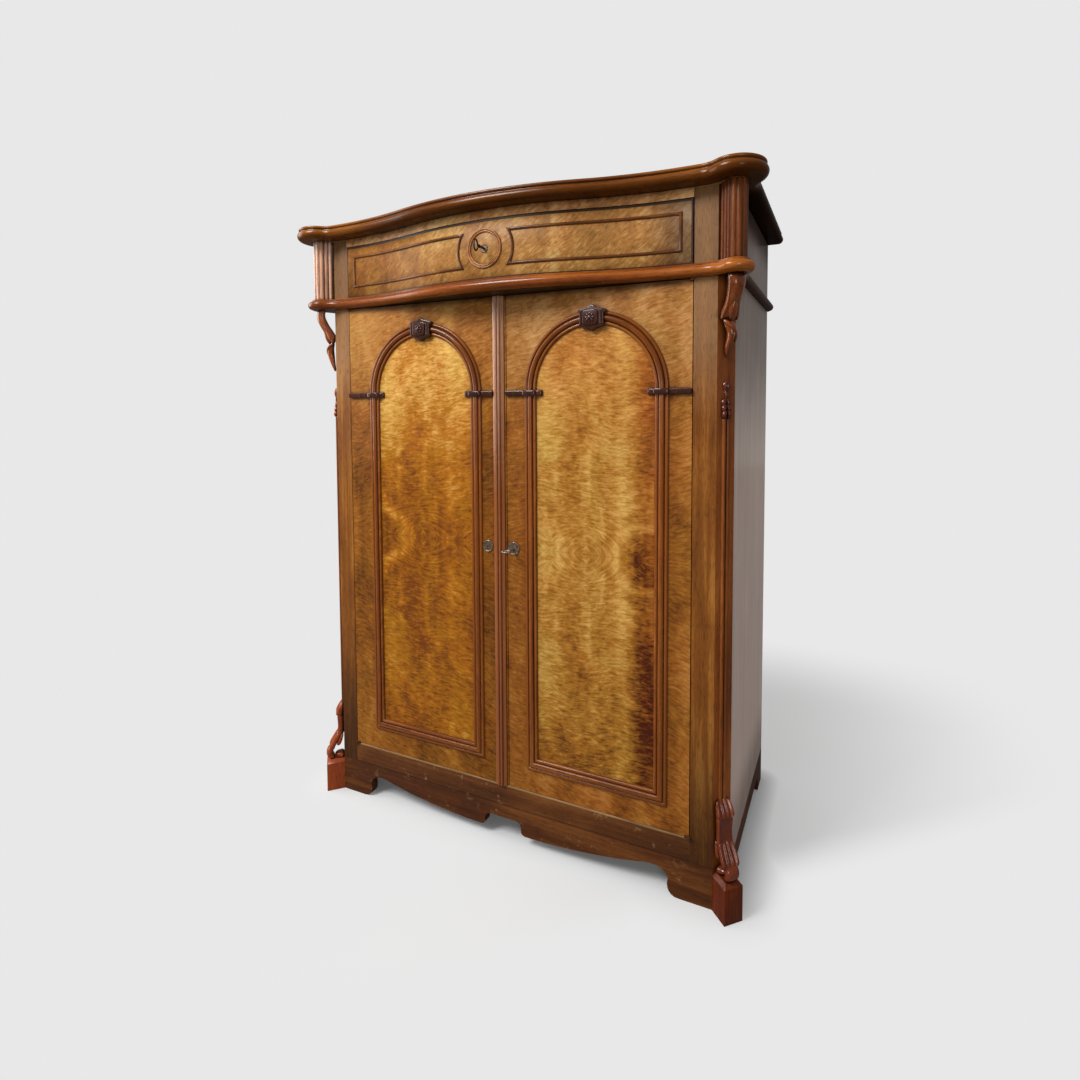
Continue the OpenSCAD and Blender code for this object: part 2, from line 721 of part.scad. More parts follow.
module door_pivots() {
    color("dimgray") in_frame() for (z = [door_lo, door_hi - pivot_t])
        difference() {
            level(z, pivot_t) pivot_shape();
            translate([pivot[0], pivot[1], z - 1]) cylinder(r = pin_r + run_gap, h = pivot_t + 2);
        }
}

module left_door_pivots() {
    mirror([1, 0, 0]) door_pivots();
}

module surface_bolt(z, h) {
    translate([bolt_x, bolt_y, z]) cylinder(r = bolt_r, h = h);
}

module upper_bolt() {
    color("dimgray") in_frame() {
        surface_bolt(door_hi - upper_bolt_h - 0.5, upper_bolt_h);
        translate([bolt_x, bolt_y, door_hi - knob_rise]) rotate([-90, 0, 0]) cylinder(r = 3, h = 16);
        translate([bolt_x, bolt_y + 16, door_hi - knob_rise]) rotate([-90, 0, 0]) cylinder(r = 6, h = 6);
    }
}

module lower_bolt() {
    color("dimgray") in_frame() {
        surface_bolt(floor_top + 1, lower_bolt_h);
        translate([bolt_x, bolt_y, floor_top + knob_rise]) rotate([-90, 0, 0]) cylinder(r = 3, h = 16);
        translate([bolt_x, bolt_y + 16, floor_top + knob_rise]) rotate([-90, 0, 0]) cylinder(r = 6, h = 6);
    }
}

// straps that guide the bolts, and the keep for the lock bolt
module left_door_ironwork() {
    color("dimgray") in_frame() {
        for (z = [door_hi - 176, door_hi - 30, floor_top + 20, floor_top + 150])
            difference() {
                translate([bolt_x - 9, case_y, z]) cube([18, 16, 10]);
                translate([bolt_x, bolt_y, z - 1]) cylinder(r = bolt_r + run_gap, h = 12);
            }
        difference() {
            translate([meet_l - 15, case_y, lock_z + 7]) cube([14, 15, 24]);
            translate([meet_l - 12, case_y + 2, lock_z + 11]) cube([12, 10, 16]);
        }
    }
}

module right_door_frame() {
    color("peru") difference() {
        door_frame(meet_r, leaf_x, arch_right);
        in_frame() keyhole(right_lock_x, lock_z, -1, door_t + 2);
    }
}

module right_door_panel() {
    color("goldenrod") door_panel(arch_right);
}

module right_arch_moulding() {
    color("maroon") arch_moulding(arch_right);
}

module right_jamb_moulding() {
    color("maroon") jamb_moulding(arch_right);
}

module right_capitals() {
    color("maroon") in_frame() {
        capital_side(arch_right, -1, meet_r);
        capital_side(arch_right, 1, leaf_x);
    }
}

module right_keystone() {
    color("black") keystone(arch_right);
}

module right_escutcheon() {
    color("dimgray") in_frame() escutcheon(right_lock_x, lock_z, right_plate_r);
}

module right_door_pivots() {
    door_pivots();
}

module door_lock_case() {
    color("dimgray") in_frame() difference() {
        translate([meet_r + 1, case_y, lock_z - 35]) cube([70, 15, 70]);
        translate([meet_r + 3, case_y + 2, lock_z - 33]) cube([66, 11, 66]);
        translate([meet_r, case_y + 3, lock_z + 12]) cube([5, 8, 14]);
        keyhole(right_lock_x, lock_z, case_y - 1, 4);
    }
}

module door_lock_bolt() {
    color("darkgray") in_frame() {
        translate([meet_r + 1.5, case_y + 3.2, lock_z + 12.2]) cube([40, 7.6, 13.6]);
        translate([meet_r + 41, case_y + 3.2, lock_z + 12.2]) cube([14, 7.6, 18]);
    }
}

// shank along Y with a bit at its inner end; the bow is an oval plate
module key(cx, cz, bow_y, tip_y, bow_a, bow_b, upright) {
    line = [for (a = [0 : 15 : 345]) [bow_a * cos(a), bow_b * sin(a)]];
    hole = [for (a = [0 : 15 : 345]) [(bow_a - 4.5) * cos(a), (bow_b - 4.5) * sin(a)]];
    translate([cx, 0, cz]) {
        translate([0, tip_y, 0]) rotate([90, 0, 0]) cylinder(r = shank_r, h = tip_y - bow_y - bow_b + 2);
        translate([0, bow_y + bow_b + 5, 0]) rotate([90, 0, 0]) cylinder(r = 4.5, h = 3);
        translate([-1.2, tip_y - 6, -bit_r]) cube([2.4, 6, bit_r]);
        translate([0, bow_y, 0]) rotate([0, upright ? 90 : 0, 0]) linear_extrude(3.4, center = true) difference() {
            polygon(line);
            polygon(hole);
        }
    }
}

module door_key() {
    color("dimgray") in_frame() key(right_lock_x, lock_z, -42.5, case_y + 10, 13, 12.5, false);
}

// drawer

module drawer_front() {
    color("peru") in_frame() difference() {
        level(drawer_lo, drawer_hi - drawer_lo)
            polygon(concat(at(0, front_run(drawer_x)), back(at(-front_t, front_run(drawer_x)))));
        translate([-35, lock_y - 6, drawer_hi - 92]) cube([70, 40, 100]);
        keyhole(0, ring_z, face_y - 5, 30);
    }
}

module drawer_ring() {
    color("maroon") in_frame() intersection() {
        level(ring_z - ring_r, ring_r * 2)
            polygon(concat(at(bead_out + 2, front_run(drawer_x)), back(at(0, front_run(drawer_x)))));
        translate([0, 0, ring_z]) rotate([90, 0, 0]) difference() {
            cylinder(r = ring_r, h = 200, $fn = 96);
            translate([0, 0, -1]) cylinder(r = ring_r - bead_w, h = 202, $fn = 96);
        }
    }
}

// outline of a bead frame, drawn in from its outer edge
function frame_line(in) = let (h = drawer_zone_h / 2 - bead_margin - in, r = ring_r + ring_space + in,
    x = drawer_x - bead_end - in, a = asin(h / r)) concat([[x, -h], [x, h]], arc([0, 0], r, a, -a, 10));

module drawer_beads() {
    color("maroon") in_frame() intersection() {
        level(drawer_lo, drawer_hi - drawer_lo)
            polygon(concat(at(bead_out, front_run(drawer_x)), back(at(0, front_run(drawer_x)))));
        both() translate([0, 0, drawer_mid]) rotate([90, 0, 0]) linear_extrude(200) difference() {
            polygon(frame_line(0));
            polygon(frame_line(bead_w));
        }
    }
}

module drawer_box() {
    low = deck_z + 6;
    high = drawer_hi - 6;
    depth = back_y - 16;
    color("burlywood") in_frame() {
        both() difference() {
            translate([drawer_x - drawer_side_t, front_t - front_step, low])
                cube([drawer_side_t, depth - front_t + front_step, high - low]);
            translate([drawer_x - drawer_side_t - 1, 0, low + 6]) cube([5, depth + 1, 6]);
        }
        translate([-drawer_x + drawer_side_t, depth - 12, low + 12])
            cube([(drawer_x - drawer_side_t) * 2, 12, high - low - 12]);
    }
}

module drawer_bottom() {
    x = drawer_x - drawer_side_t;
    run = [for (s = front_run(drawer_x)) if (abs(s[0]) < x - 8) s];
    color("burlywood") in_frame() level(deck_z + 12, 6)
        polygon(concat([[-x - 4, front_t - front_step]], at(-front_t, run),
            [[x + 4, front_t - front_step], [x + 4, back_y - 16], [-x - 4, back_y - 16]]));
}

module drawer_lock_case() {
    color("dimgray") in_frame() {
        difference() {
            translate([-35, lock_y - 6, drawer_hi - 92]) cube([70, 12, 92]);
            translate([-33, lock_y - 5, drawer_hi - 90]) cube([66, 10, 88]);
            translate([-drawer_bolt_w / 2 - 0.3, lock_y - 4, drawer_hi - 5]) cube([drawer_bolt_w + 0.6, 8, 10]);
            keyhole(0, ring_z, lock_y - 8, 5);
        }
        translate([0, face_y, 0]) escutcheon(0, ring_z, 11);
    }
}

module drawer_lock_bolt() {
    color("darkgray") in_frame() translate([-drawer_bolt_w / 2, lock_y - 3.8, ring_z + 11])
        cube([drawer_bolt_w, 7.6, drawer_hi - ring_z - 11.5]);
}

module drawer_key() {
    color("dimgray") in_frame() key(0, ring_z, face_y - key_reach + 11, lock_y + 3, 16.5, 11, true);
}

left_side_panel();
right_side_panel();
left_stile();
right_stile();
canted_posts();
bottom_board();
dust_board();
top_board();
back_panel();
base_rail();
plinth_front();
plinth_sides();
plinth_back();
foot_blocks();
foot_scrolls();
upper_scrolls();
corner_drops();
corner_beads();
corner_columns();
waist_rail();
waist_moulding();
frieze_rail();
cornice_moulding();
drawer_runners();
lower_shelf();
middle_shelf();
upper_shelf();
shelf_battens();
pivot_plates();
left_door_frame();
left_door_panel();
left_arch_moulding();
left_jamb_moulding();
left_capitals();
left_keystone();
astragal();
left_escutcheon();
left_door_pivots();
upper_bolt();
lower_bolt();
left_door_ironwork();
right_door_frame();
right_door_panel();
right_arch_moulding();
right_jamb_moulding();
right_capitals();
right_keystone();
right_escutcheon();
right_door_pivots();
door_lock_case();
door_lock_bolt();
door_key();
drawer_front();
drawer_ring();
drawer_beads();
drawer_box();
drawer_bottom();
drawer_lock_case();
drawer_lock_bolt();
drawer_key();
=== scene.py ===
"""Two-door linen press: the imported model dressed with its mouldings, carvings and polished veneers."""

import math
from functools import partial

import bmesh
import bpy
from mathutils import Matrix, Vector


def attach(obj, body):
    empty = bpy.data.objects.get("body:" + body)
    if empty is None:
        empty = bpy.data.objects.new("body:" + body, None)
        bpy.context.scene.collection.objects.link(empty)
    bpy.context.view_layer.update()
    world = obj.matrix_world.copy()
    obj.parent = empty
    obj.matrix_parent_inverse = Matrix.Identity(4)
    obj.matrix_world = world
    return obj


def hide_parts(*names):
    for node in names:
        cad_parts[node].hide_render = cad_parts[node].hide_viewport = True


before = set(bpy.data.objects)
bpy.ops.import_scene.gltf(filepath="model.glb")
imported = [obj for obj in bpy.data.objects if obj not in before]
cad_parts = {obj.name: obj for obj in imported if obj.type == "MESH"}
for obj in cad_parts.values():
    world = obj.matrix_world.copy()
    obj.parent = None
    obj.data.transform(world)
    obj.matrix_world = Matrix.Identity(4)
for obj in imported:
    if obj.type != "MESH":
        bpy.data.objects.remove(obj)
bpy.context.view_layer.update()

# Sizes in metres, as the part's source names them. The door face is y = 0 before the shift.
SHIFT = -0.248
HALF_W = 0.636
BODY_D = 0.618
CANT = 0.036
FLAT_X = HALF_W - CANT
DOOR_X = 0.543
STEP = 0.004
BULGE = 0.066
LOBE_R = 0.025
LOBE_REACH = 0.060
HOLLOW_R = 0.095
RAIL_Z = 0.167
WAIST_Z = 1.554
WAIST_H = 0.032
DECK_Z = 1.586
GAP_Z = 1.743
FRIEZE_Z = 1.766
DRAWER_X = 0.541
ARCH_LEFT = -0.2594
ARCH_RIGHT = 0.2824
ARCH_R = 0.2015
ARCH_Z = 1.293
PANEL_LOW = 0.233
CAPITAL_H = 0.016
MOULD_W = 0.036
KEY_RISE = 0.1825
LOCK_Z = 0.854
LEFT_LOCK_X = -0.04045
RIGHT_LOCK_X = 0.043
LEFT_PLATE_R = 0.01695
RIGHT_PLATE_R = 0.0185
DRAWER_PLATE_R = 0.011
RING_Z = 1.666
RING_R = 0.053
BEAD_W = 0.009
BEAD_OUT = 0.004
FOOT_H = 0.098
FACE_Y = -BULGE - STEP
SIDES = (("right", 1), ("left", -1))


# Colours and materials

def linear(code):
    """An sRGB hex value as linear red, green, blue and alpha."""
    parts = [int(code[i:i + 2], 16) / 255 for i in (0, 2, 4)]
    return [p / 12.92 if p <= 0.04045 else ((p + 0.055) / 1.055) ** 2.4 for p in parts] + [1.0]


def feed(node, inputs):
    """Fills a node's inputs, by name or in their order, with values or with the sockets to link."""
    for name, value in inputs.items() if isinstance(inputs, dict) else enumerate(inputs):
        if isinstance(value, bpy.types.NodeSocket):
            node.id_data.links.new(value, node.inputs[name])
        else:
            node.inputs[name].default_value = value


def add(tree, kind, inputs=(), stops=(), give=0, **settings):
    """Adds one node with its settings and links, and returns the output that give names or counts."""
    made = tree.nodes.new("ShaderNode" + kind)
    for name, value in settings.items():
        setattr(made, name, value)
    feed(made, inputs)
    if stops:
        ramp = made.color_ramp
        while len(ramp.elements) < len(stops):
            ramp.elements.new(0.5)
        for element, (place, colour) in zip(ramp.elements, stops):
            element.position = place
            element.color = linear(colour) if isinstance(colour, str) else [colour] * 3 + [1.0]
    return made.outputs[give]


# settings of a node that lays one colour over another, tints one by another, or eases a range
COVER = {"data_type": "RGBA", "give": 2}
TINT = {"data_type": "RGBA", "blend_type": "MULTIPLY", "give": 2}
EASE = {"interpolation_type": "SMOOTHSTEP"}
# turns that bring the grain's direction to the pattern's X axis
GRAIN = {"X": (0, 0, 0), "Y": (0, 0, -math.pi / 2), "Z": (0, math.pi / 2, 0)}


def blank(name):
    """A new material, its shader, and add bound to its nodes."""
    made = bpy.data.materials.new(name)
    made.use_nodes = True
    return made, made.node_tree.nodes["Principled BSDF"], partial(add, made.node_tree)


def grain_place(put, source):
    """Where the pattern is read: on the object's coordinates, or along the run of a moulding."""
    if source == "Object":
        return put("TexCoord", give="Object")
    return put("Attribute", give="Vector", attribute_name="grain")


def drawn_out_noise(put, place, waves, detail, rough=0.6, bend=0.0):
    """Noise with so many waves to the metre along each axis."""
    spot = put("Mapping", {"Vector": place, "Scale": waves})
    return put("TexNoise", {"Vector": spot, "Scale": 1.0, "Detail": detail, "Roughness": rough,
                            "Distortion": bend})


def polished_wood(name, tones, along="Z", spread=0.45, rough=0.25, coat=0.0, crevice=0.0, deep=0.009,
                  wear=None, source="Object", shine=0.25, dusk=(), matt=False, edge=None, tone_and_light=None,
                  crest=None, bloom=0.0):
    """Film-polished hardwood: streaks and pores along the grain, clouds of tone, a soft uneven gloss.

    crevice is how dark the painted shade in the hollows goes, with the wax and dust in them, and deep how far
    that
    reaches. dusk lists (axis, from, to, how bright at the end): painted shade, a painted reflection on the
    sides, weathering low on the stiles, and on the base and plinth the dark joint between them; matt lets it
    take the gloss
    away too. tone_and_light is (axis, from, to, colour): painted window light on the carvings' left side, a
    painted highlight at the astragal's top, and another tone on the case and the base rail. wear is the
    colour of worn patches, edge the z of a worn arris, crest the colour of crests painted paler, as worn and
    as a painted highlight, and bloom the strength of a dusty bloom."""
    made, surface, put = blank(name)
    place = grain_place(put, source)
    turned = put("Mapping", {"Vector": place, "Rotation": GRAIN[along]})
    # streaks about 12 mm wide and half a metre long, and clouds of tone about 150 mm wide
    streaks = drawn_out_noise(put, turned, (2.0, 48, 48), 6.0, 0.66, 0.5)
    clouds = drawn_out_noise(put, turned, (2.6, 6.5, 6.5), 3.0, 0.5, 0.8)
    tone = put("Mix", {"Factor": 0.4, 2: streaks, 3: clouds})
    ends = (0.5 - spread / 2, 0.5, 0.5 + spread / 2)
    colour = put("ValToRGB", [tone], stops=list(zip(ends, tones)))
    if tone_and_light:
        # another colour over a span: painted window light on the carvings' left side, a painted highlight at
        # the astragal's top, another tone on the case and the base rail
        axis, start, stop, cast = tone_and_light
        across = put("SeparateXYZ", [place], give=axis)
        turn = put("MapRange", (across, start, stop, 0.0, 0.65))
        colour = put("Mix", {"Factor": turn, 6: colour, 7: linear(cast)}, **COVER)
    # open pores: dark flecks drawn 2 mm wide and 25 mm long, coarser than real so that they show
    pores = drawn_out_noise(put, turned, (40, 480, 480), 2.0, 0.5)
    flecks = put("ValToRGB", [pores], stops=[(0.34, 0.55), (0.5, 1.0)])
    colour = put("Mix", {"Factor": 0.8, 6: colour, 7: flecks}, **TINT)
    if crevice:
        # painted shade darkens the hollows, with the wax and dust in them
        hollow = put("AmbientOcclusion", {"Distance": deep}, give="AO", samples=6)
        hollow_shade_and_dust = put("ValToRGB", [hollow], stops=[(0.4, 1.0 - crevice), (0.85, 1.0)])
        colour = put("Mix", {"Factor": 1.0, 6: colour, 7: hollow_shade_and_dust}, **TINT)
    if wear:
        # polish rubbed thin in patches
        rub = put("TexNoise", {"Vector": place, "Scale": 34.0, "Detail": 5.0, "Roughness": 0.7})
        patch = put("ValToRGB", [rub], stops=[(0.60, 0.0), (0.72, 0.45)])
        colour = put("Mix", {"Factor": patch, 6: colour, 7: linear(wear)}, **COVER)
    if edge:
        height = put("SeparateXYZ", [place], give="Z")
        band = put("MapRange", (height, edge - 0.006, edge - 0.001))
        broken = put("MapRange", (streaks, 0.4, 0.6, 0.25, 1.0))
        bare = put("Math", (band, broken), operation="MULTIPLY")
        colour = put("Mix", {"Factor": bare, 6: colour, 7: linear(wear)}, **COVER)
    feed(surface, {"IOR": 1.5, "Specular IOR Level": shine, "Coat Weight": coat, "Coat Roughness": 0.16,
                   "Sheen Weight": bloom, "Sheen Roughness": 0.4, "Sheen Tint": linear("f0dcd0")})
    dim = None
    for axis, start, stop, level in dusk:
        # darker by place: painted shade, a painted reflection on the sides, weathering low on the stiles, and
        # the dark joint of base and plinth
        reach = put("Math", [put("SeparateXYZ", [place], give=axis)], operation="ABSOLUTE")
        shade = put("MapRange", (reach, start, stop, 1.0, level), **EASE)
        dim = put("Math", (dim, shade), operation="MULTIPLY") if dim else shade
    if dim:
        colour = put("Mix", {"Factor": 1.0, 6: colour, 7: dim}, **TINT)
        feed(surface, {"Coat Weight": put("Math", (dim, coat), operation="MULTIPLY")})
    if matt:
        for socket, least, most in (("Specular IOR Level", 0.0, shine), ("Sheen Weight", 0.0, bloom),
                                    ("IOR", 1.05, 1.5)):
            feed(surface, {socket: put("MapRange", {0: dim, 3: least, 4: most})})
    if crest:
        # the crests are painted paler: worn, and a painted highlight
        keen = put("NewGeometry", give="Pointiness")
        worn_and_lit_crest = put("MapRange", (keen, 0.525, 0.60, 0.0, 0.5))
        colour = put("Mix", {"Factor": worn_and_lit_crest, 6: colour, 7: linear(crest)}, **COVER)
    # brush marks and rubbing leave the gloss uneven
    film = put("TexNoise", {"Vector": place, "Scale": 9.0, "Detail": 4.0})
    feed(surface, {"Base Color": colour,
                   "Roughness": put("MapRange", {0: film, 3: rough - 0.06, 4: rough + 0.10}),
                   "Normal": put("Bump", {"Strength": 0.06, "Distance": 0.0006, "Height": pores})})
    return made


def figured_veneer(name, tones, middle, lean, lit_span, lift, heart=0.0, eye=None, strip=None, cloud=1.0,
                   mottle=0.35, curl=1.0, shine=0.22, shaded=(), source="Object"):
    """Curly walnut veneer in two sheets opened like a book: fine wavy ripples across the grain, broad clouds,
    ripples that bend round the heart where the sheets meet, and painted light that makes it paler higher up.

    middle is the (x, z) of the match, lean the ripples' slant in degrees, lit_span and lift where and how
    much the painted light pales it, eye the (x, radius) of a dark eye on the match with a pale rim, strip the
    x from which dark heartwood runs down the sheet, and shaded lists (axis, from, to, the tint at the end),
    by which the waist moulding's shadow is painted over the door frames."""
    made, surface, put = blank(name)
    place = grain_place(put, source)
    x, z = (put("SeparateXYZ", [place], give=axis) for axis in "XZ")
    side = put("Math", (x, middle[0]), operation="SUBTRACT")
    folded = put("Math", [put("Math", (z, middle[1]), operation="SUBTRACT")], operation="ABSOLUTE")
    sheet = put("CombineXYZ", {"X": side, "Z": folded})
    # the ripples wave up and down over about 150 mm
    sway = drawn_out_noise(put, sheet, (7.0, 7.0, 4.0), 1.0)
    wave = put("Math", (sway, 0.05, folded), operation="MULTIPLY_ADD")
    if heart:
        away = put("VectorMath", [sheet], give="Value", operation="LENGTH")
        near = put("MapRange", (away, 0.20, 0.06, 0.0, heart), **EASE)
        wave = put("Mix", {"Factor": near, 2: wave, 3: away})
    bent = put("CombineXYZ", {"X": side, "Z": wave})
    bent = put("Mapping", {"Vector": bent, "Rotation": (0, math.radians(lean), 0)})
    # ripples 7 mm apart and 30 mm long, with hairs between them drawn 3 mm apart
    ripples = drawn_out_noise(put, bent, (34, 34, 150), 2.0, bend=0.5)
    hairs = drawn_out_noise(put, bent, (90, 90, 340), 2.0, bend=0.4)
    # clouds of tone about 120 mm wide, vertical bands under them and a mottle of spots
    clouds = drawn_out_noise(put, sheet, (8.0, 8.0, 4.5), 4.0, bend=0.8)
    bands = drawn_out_noise(put, sheet, (16.0, 16.0, 1.5), 2.0)
    spots = drawn_out_noise(put, sheet, (30.0, 30.0, 44.0), 3.0, bend=1.0)
    tone = put("Math", (ripples, 0.84 * curl, -0.42 * curl), operation="MULTIPLY_ADD")
    for pattern, amount in ((hairs, 0.45), (clouds, cloud), (bands, 0.5 * cloud), (spots, mottle)):
        swing = put("Math", (pattern, 0.5), operation="SUBTRACT")
        tone = put("Math", (swing, amount, tone), operation="MULTIPLY_ADD")
    # painted light: paler higher up, where more light falls
    pale = put("MapRange", (z, *lit_span, 0.5 - lift, 0.5 + lift), **EASE)
    tone = put("Math", (tone, pale), operation="ADD")
    if eye:
        # wider than it is tall, and its edge follows the clouds
        centre, radius = eye
        flat = put("Math", (put("Math", (x, centre), operation="SUBTRACT"), 0.7), operation="MULTIPLY")
        oval = put("CombineXYZ", {"X": flat, "Z": folded})
        away = put("VectorMath", [oval], give="Value", operation="LENGTH")
        away = put("Math", (clouds, 0.03, away), operation="MULTIPLY_ADD")
        inside, outside = (put("MapRange", (away, radius + start, radius + stop), **EASE)
                           for start, stop in ((-0.012, 0.008), (0.012, 0.03)))
        rim = put("Math", (inside, outside), operation="SUBTRACT")
        tone = put("Math", (rim, 0.13, tone), operation="MULTIPLY_ADD")
        dark = put("MapRange", (away, radius + 0.005, radius - 0.03, 0.0, -0.18), **EASE)
        tone = put("Math", (tone, dark), operation="ADD")
    if strip:
        # its edge wanders, and above the match it's weaker
        wander = drawn_out_noise(put, sheet, (3, 3, 10), 4.0)
        moved = put("Math", (wander, 0.09, x), operation="MULTIPLY_ADD")
        dark = put("MapRange", (moved, strip + 0.03, strip + 0.07, 0.0, -0.28), **EASE)
        fuller = put("MapRange", (z, middle[1] + 0.05, middle[1] - 0.08, 0.5, 1.0), **EASE)
        tone = put("Math", (dark, fuller, tone), operation="MULTIPLY_ADD")
    colour = put("ValToRGB", [tone], stops=list(zip((0.12, 0.5, 0.92), tones)))
    # redder and greener patches about 150 mm wide
    patches = drawn_out_noise(put, sheet, (6.0, 6.0, 5.0), 3.0, bend=0.6)
    cast = put("ValToRGB", [patches], stops=[(0.36, "ffc8a0"), (0.5, "fff4ec"), (0.64, "e8ffc8")])
    colour = put("Mix", {"Factor": 0.22, 6: colour, 7: cast}, **TINT)
    # painted shade, where old wax also gathers, darkens the corners along the mouldings
    hollow = put("AmbientOcclusion", {"Distance": 0.02}, give="AO", samples=4)
    shade_and_wax = put("ValToRGB", [hollow], stops=[(0.45, 0.45), (0.95, 1.0)])
    # the joint of the two sheets, drawn 1.5 mm wide
    joint = put("MapRange", (folded, 0.0002, 0.0014, 0.72, 1.0), **EASE)
    for shade in (shade_and_wax, joint):
        colour = put("Mix", {"Factor": 1.0, 6: colour, 7: shade}, **TINT)
    for axis, start, stop, cast in shaded:
        reach = put("MapRange", (put("SeparateXYZ", [place], give=axis), start, stop), **EASE)
        colour = put("Mix", {"Factor": reach, 6: colour, 7: linear(cast)}, **TINT)
    film = drawn_out_noise(put, place, (11, 11, 11), 4.0)
    feed(surface, {"Base Color": colour, "Roughness": put("MapRange", (film, 0.0, 1.0, 0.30, 0.48), **EASE),
                   "IOR": 1.5, "Specular IOR Level": shine,
                   "Normal": put("Bump", {"Strength": 0.08, "Distance": 0.0008, "Height": ripples})})
    return made


def aged_metal(name, dark, light, rough):
    """Old iron or brass gone brown: metal under a thin uneven tarnish, brighter where hands rub it."""
    made, surface, put = blank(name)
    place = put("TexCoord", give="Object")
    spots = put("TexNoise", {"Vector": place, "Scale": 160.0, "Detail": 5.0, "Roughness": 0.65})
    feed(surface, {"Base Color": put("ValToRGB", [spots], stops=[(0.35, dark), (0.68, light)]),
                   "Roughness": put("MapRange", {0: spots, 3: rough + 0.15, 4: rough - 0.1}), "Metallic": 0.7,
                   "Normal": put("Bump", {"Strength": 0.2, "Distance": 0.0004, "Height": spots})})
    return made


# height of the joint between the sheets, and the waist moulding's shadow over the door frames, painted as a
# darker band
SEAM_Z = 0.858
UNDER_WAIST = ("Z", 1.53, 1.552, "b3b3b3")
# curly walnut veneer on the doors, honey-coloured, and painted paler higher up as lit from above
LEFT_VENEER = figured_veneer(
    "Curly walnut veneer of the left panel", ("6a3606", "a4660e", "d8aa5a"), (-0.27, SEAM_Z), lean=4,
    lit_span=(0.85, 1.45), lift=0.18, heart=0.6, eye=(-0.43, 0.085))
RIGHT_VENEER = figured_veneer(
    "Curly walnut veneer of the right panel", ("481c02", "9c6820", "cca256"), (0.258, SEAM_Z), lean=-4,
    lit_span=(0.2, 0.8), lift=0.12, heart=0.65, eye=(0.47, 0.098), strip=0.385,
    shaded=[("Z", 1.1, 1.35, "ffede7"), ("X", 0.37, 0.44, "f0d1c1")])
LEFT_FRAME = figured_veneer(
    "Curly walnut veneer of the left door's frame", ("542e06", "8c5412", "b48240"), (0.01, SEAM_Z), lean=14,
    lit_span=(1.05, 1.5), lift=0.12, shaded=[UNDER_WAIST])
RIGHT_FRAME = figured_veneer(
    "Curly walnut veneer of the right door's frame", ("5c3210", "946024", "be8e58"), (0.01, SEAM_Z), lean=14,
    lit_span=(1.05, 1.5), lift=0.06, shaded=[UNDER_WAIST, ("Z", 1.36, 1.22, "f3e2bc")])
# the same veneer laid slantwise along the swell, where its ripples lean and no match shows
DRAWER_VENEER = figured_veneer(
    "Curly walnut veneer of the drawer", ("4c3616", "9d6d37", "d4b272"), (0.0, 1.45), lean=38,
    lit_span=(0.5, 0.6), lift=0.0, cloud=0.8, mottle=0.4, curl=0.65, shine=0.10, source="Grain",
    shaded=[("X", 0.0, -0.45, "d2bd89"), ("X", 0.40, 0.52, "aaaac8")])
FRIEZE_VENEER = figured_veneer(
    "Curly walnut veneer of the frieze", ("664020", "c08850", "f0c488"), (0.0, 1.45), lean=30,
    lit_span=(0.5, 0.6), lift=0.0, mottle=0.6, source="Grain")
# plainer straight walnut of the case: quiet streaks, its polish dulled by dust and rubbed off the arrises
# the stiles darken towards the floor, partly as weathering and partly as painted shade, and are darker above
# the waist
CASE_WOOD = polished_wood(
    "Straight walnut of the case", ("44220a", "7e4814", "b07832"), spread=0.4, rough=0.36, wear="3c2410",
    dusk=[("Z", 0.6, 0.1, 0.32), ("Z", 1.565, 1.6, 0.75)], tone_and_light=("Z", 1.22, 1.42, "8e6a48"))
# its deep crevice paints shade round the carvings, darkest beside the scrolls
POST_WOOD = polished_wood(
    "Dark walnut of the corner posts", ("4e2410", "824414", "a8622c"), spread=0.4, rough=0.36, crevice=0.7,
    deep=0.025)
# painted shade: near-black wood on the rails and the drawer front, which show only in the gaps round the
# drawer
RAIL_WOOD = polished_wood(
    "Shaded walnut round the drawer", ("1c0f06", "321c0c", "4a2c14"), "X", spread=0.4, rough=0.36)
# painted shade and reflection: the sides darken towards the top and under the cornice, and near the floor,
# where the shaded floor is reflected; matt takes their gloss away there too
SIDE_WOOD = polished_wood(
    "Walnut of the sides, dull with dust", ("6a4630", "9c7258", "c49c84"), spread=0.25, rough=0.3, coat=0.6,
    shine=0.6, dusk=[("Z", 1.0, 1.45, 0.34), ("Z", 0.30, 0.14, 0.5), ("Z", 1.66, 1.745, 0.3)], matt=True,
    bloom=1.0)
BASE_WOOD = polished_wood(
    "Worn walnut of the base rail", ("341a08", "5a3010", "825024"), "X", spread=0.4, rough=0.42,
    wear="b08c60", edge=RAIL_Z, dusk=[("Z", 0.1095, 0.1072, 0.35)], tone_and_light=("X", 0.2, 0.7, "2a1406"))
PLINTH_WOOD = polished_wood(
    "Worn red-brown walnut of the plinth", ("2c1404", "52290c", "7a481c"), "X", spread=0.4, rough=0.42,
    wear="a07c50", dusk=[("Z", 0.1045, 0.1068, 0.35)])
# solid red-brown wood of the mouldings, stained darker and kept glossy, with wax and painted shade in its
# hollows
# painted shade: the waist moulding's side returns go near black, and its deep crevice darkens it where it
# meets the case
MOULD_WOOD = polished_wood(
    "Stained wood of the waist moulding", ("421a04", "824010", "b66a24"), "X", coat=0.25, crevice=0.8,
    deep=0.02, source="Grain", shine=0.15, dusk=[("X", 0.74, 0.83, 0.24)], matt=True)
# painted shade: the cornice's lower half, its underside by the frieze and its side returns are darker
CORNICE_WOOD = polished_wood(
    "Stained wood of the cornice", ("381802", "743e0c", "a8661c"), "X", coat=0.25, crevice=0.8, deep=0.02,
    source="Grain", shine=0.15, dusk=[("X", 0.74, 0.83, 0.24), ("Z", 1.792, 1.770, 0.55)], matt=True)
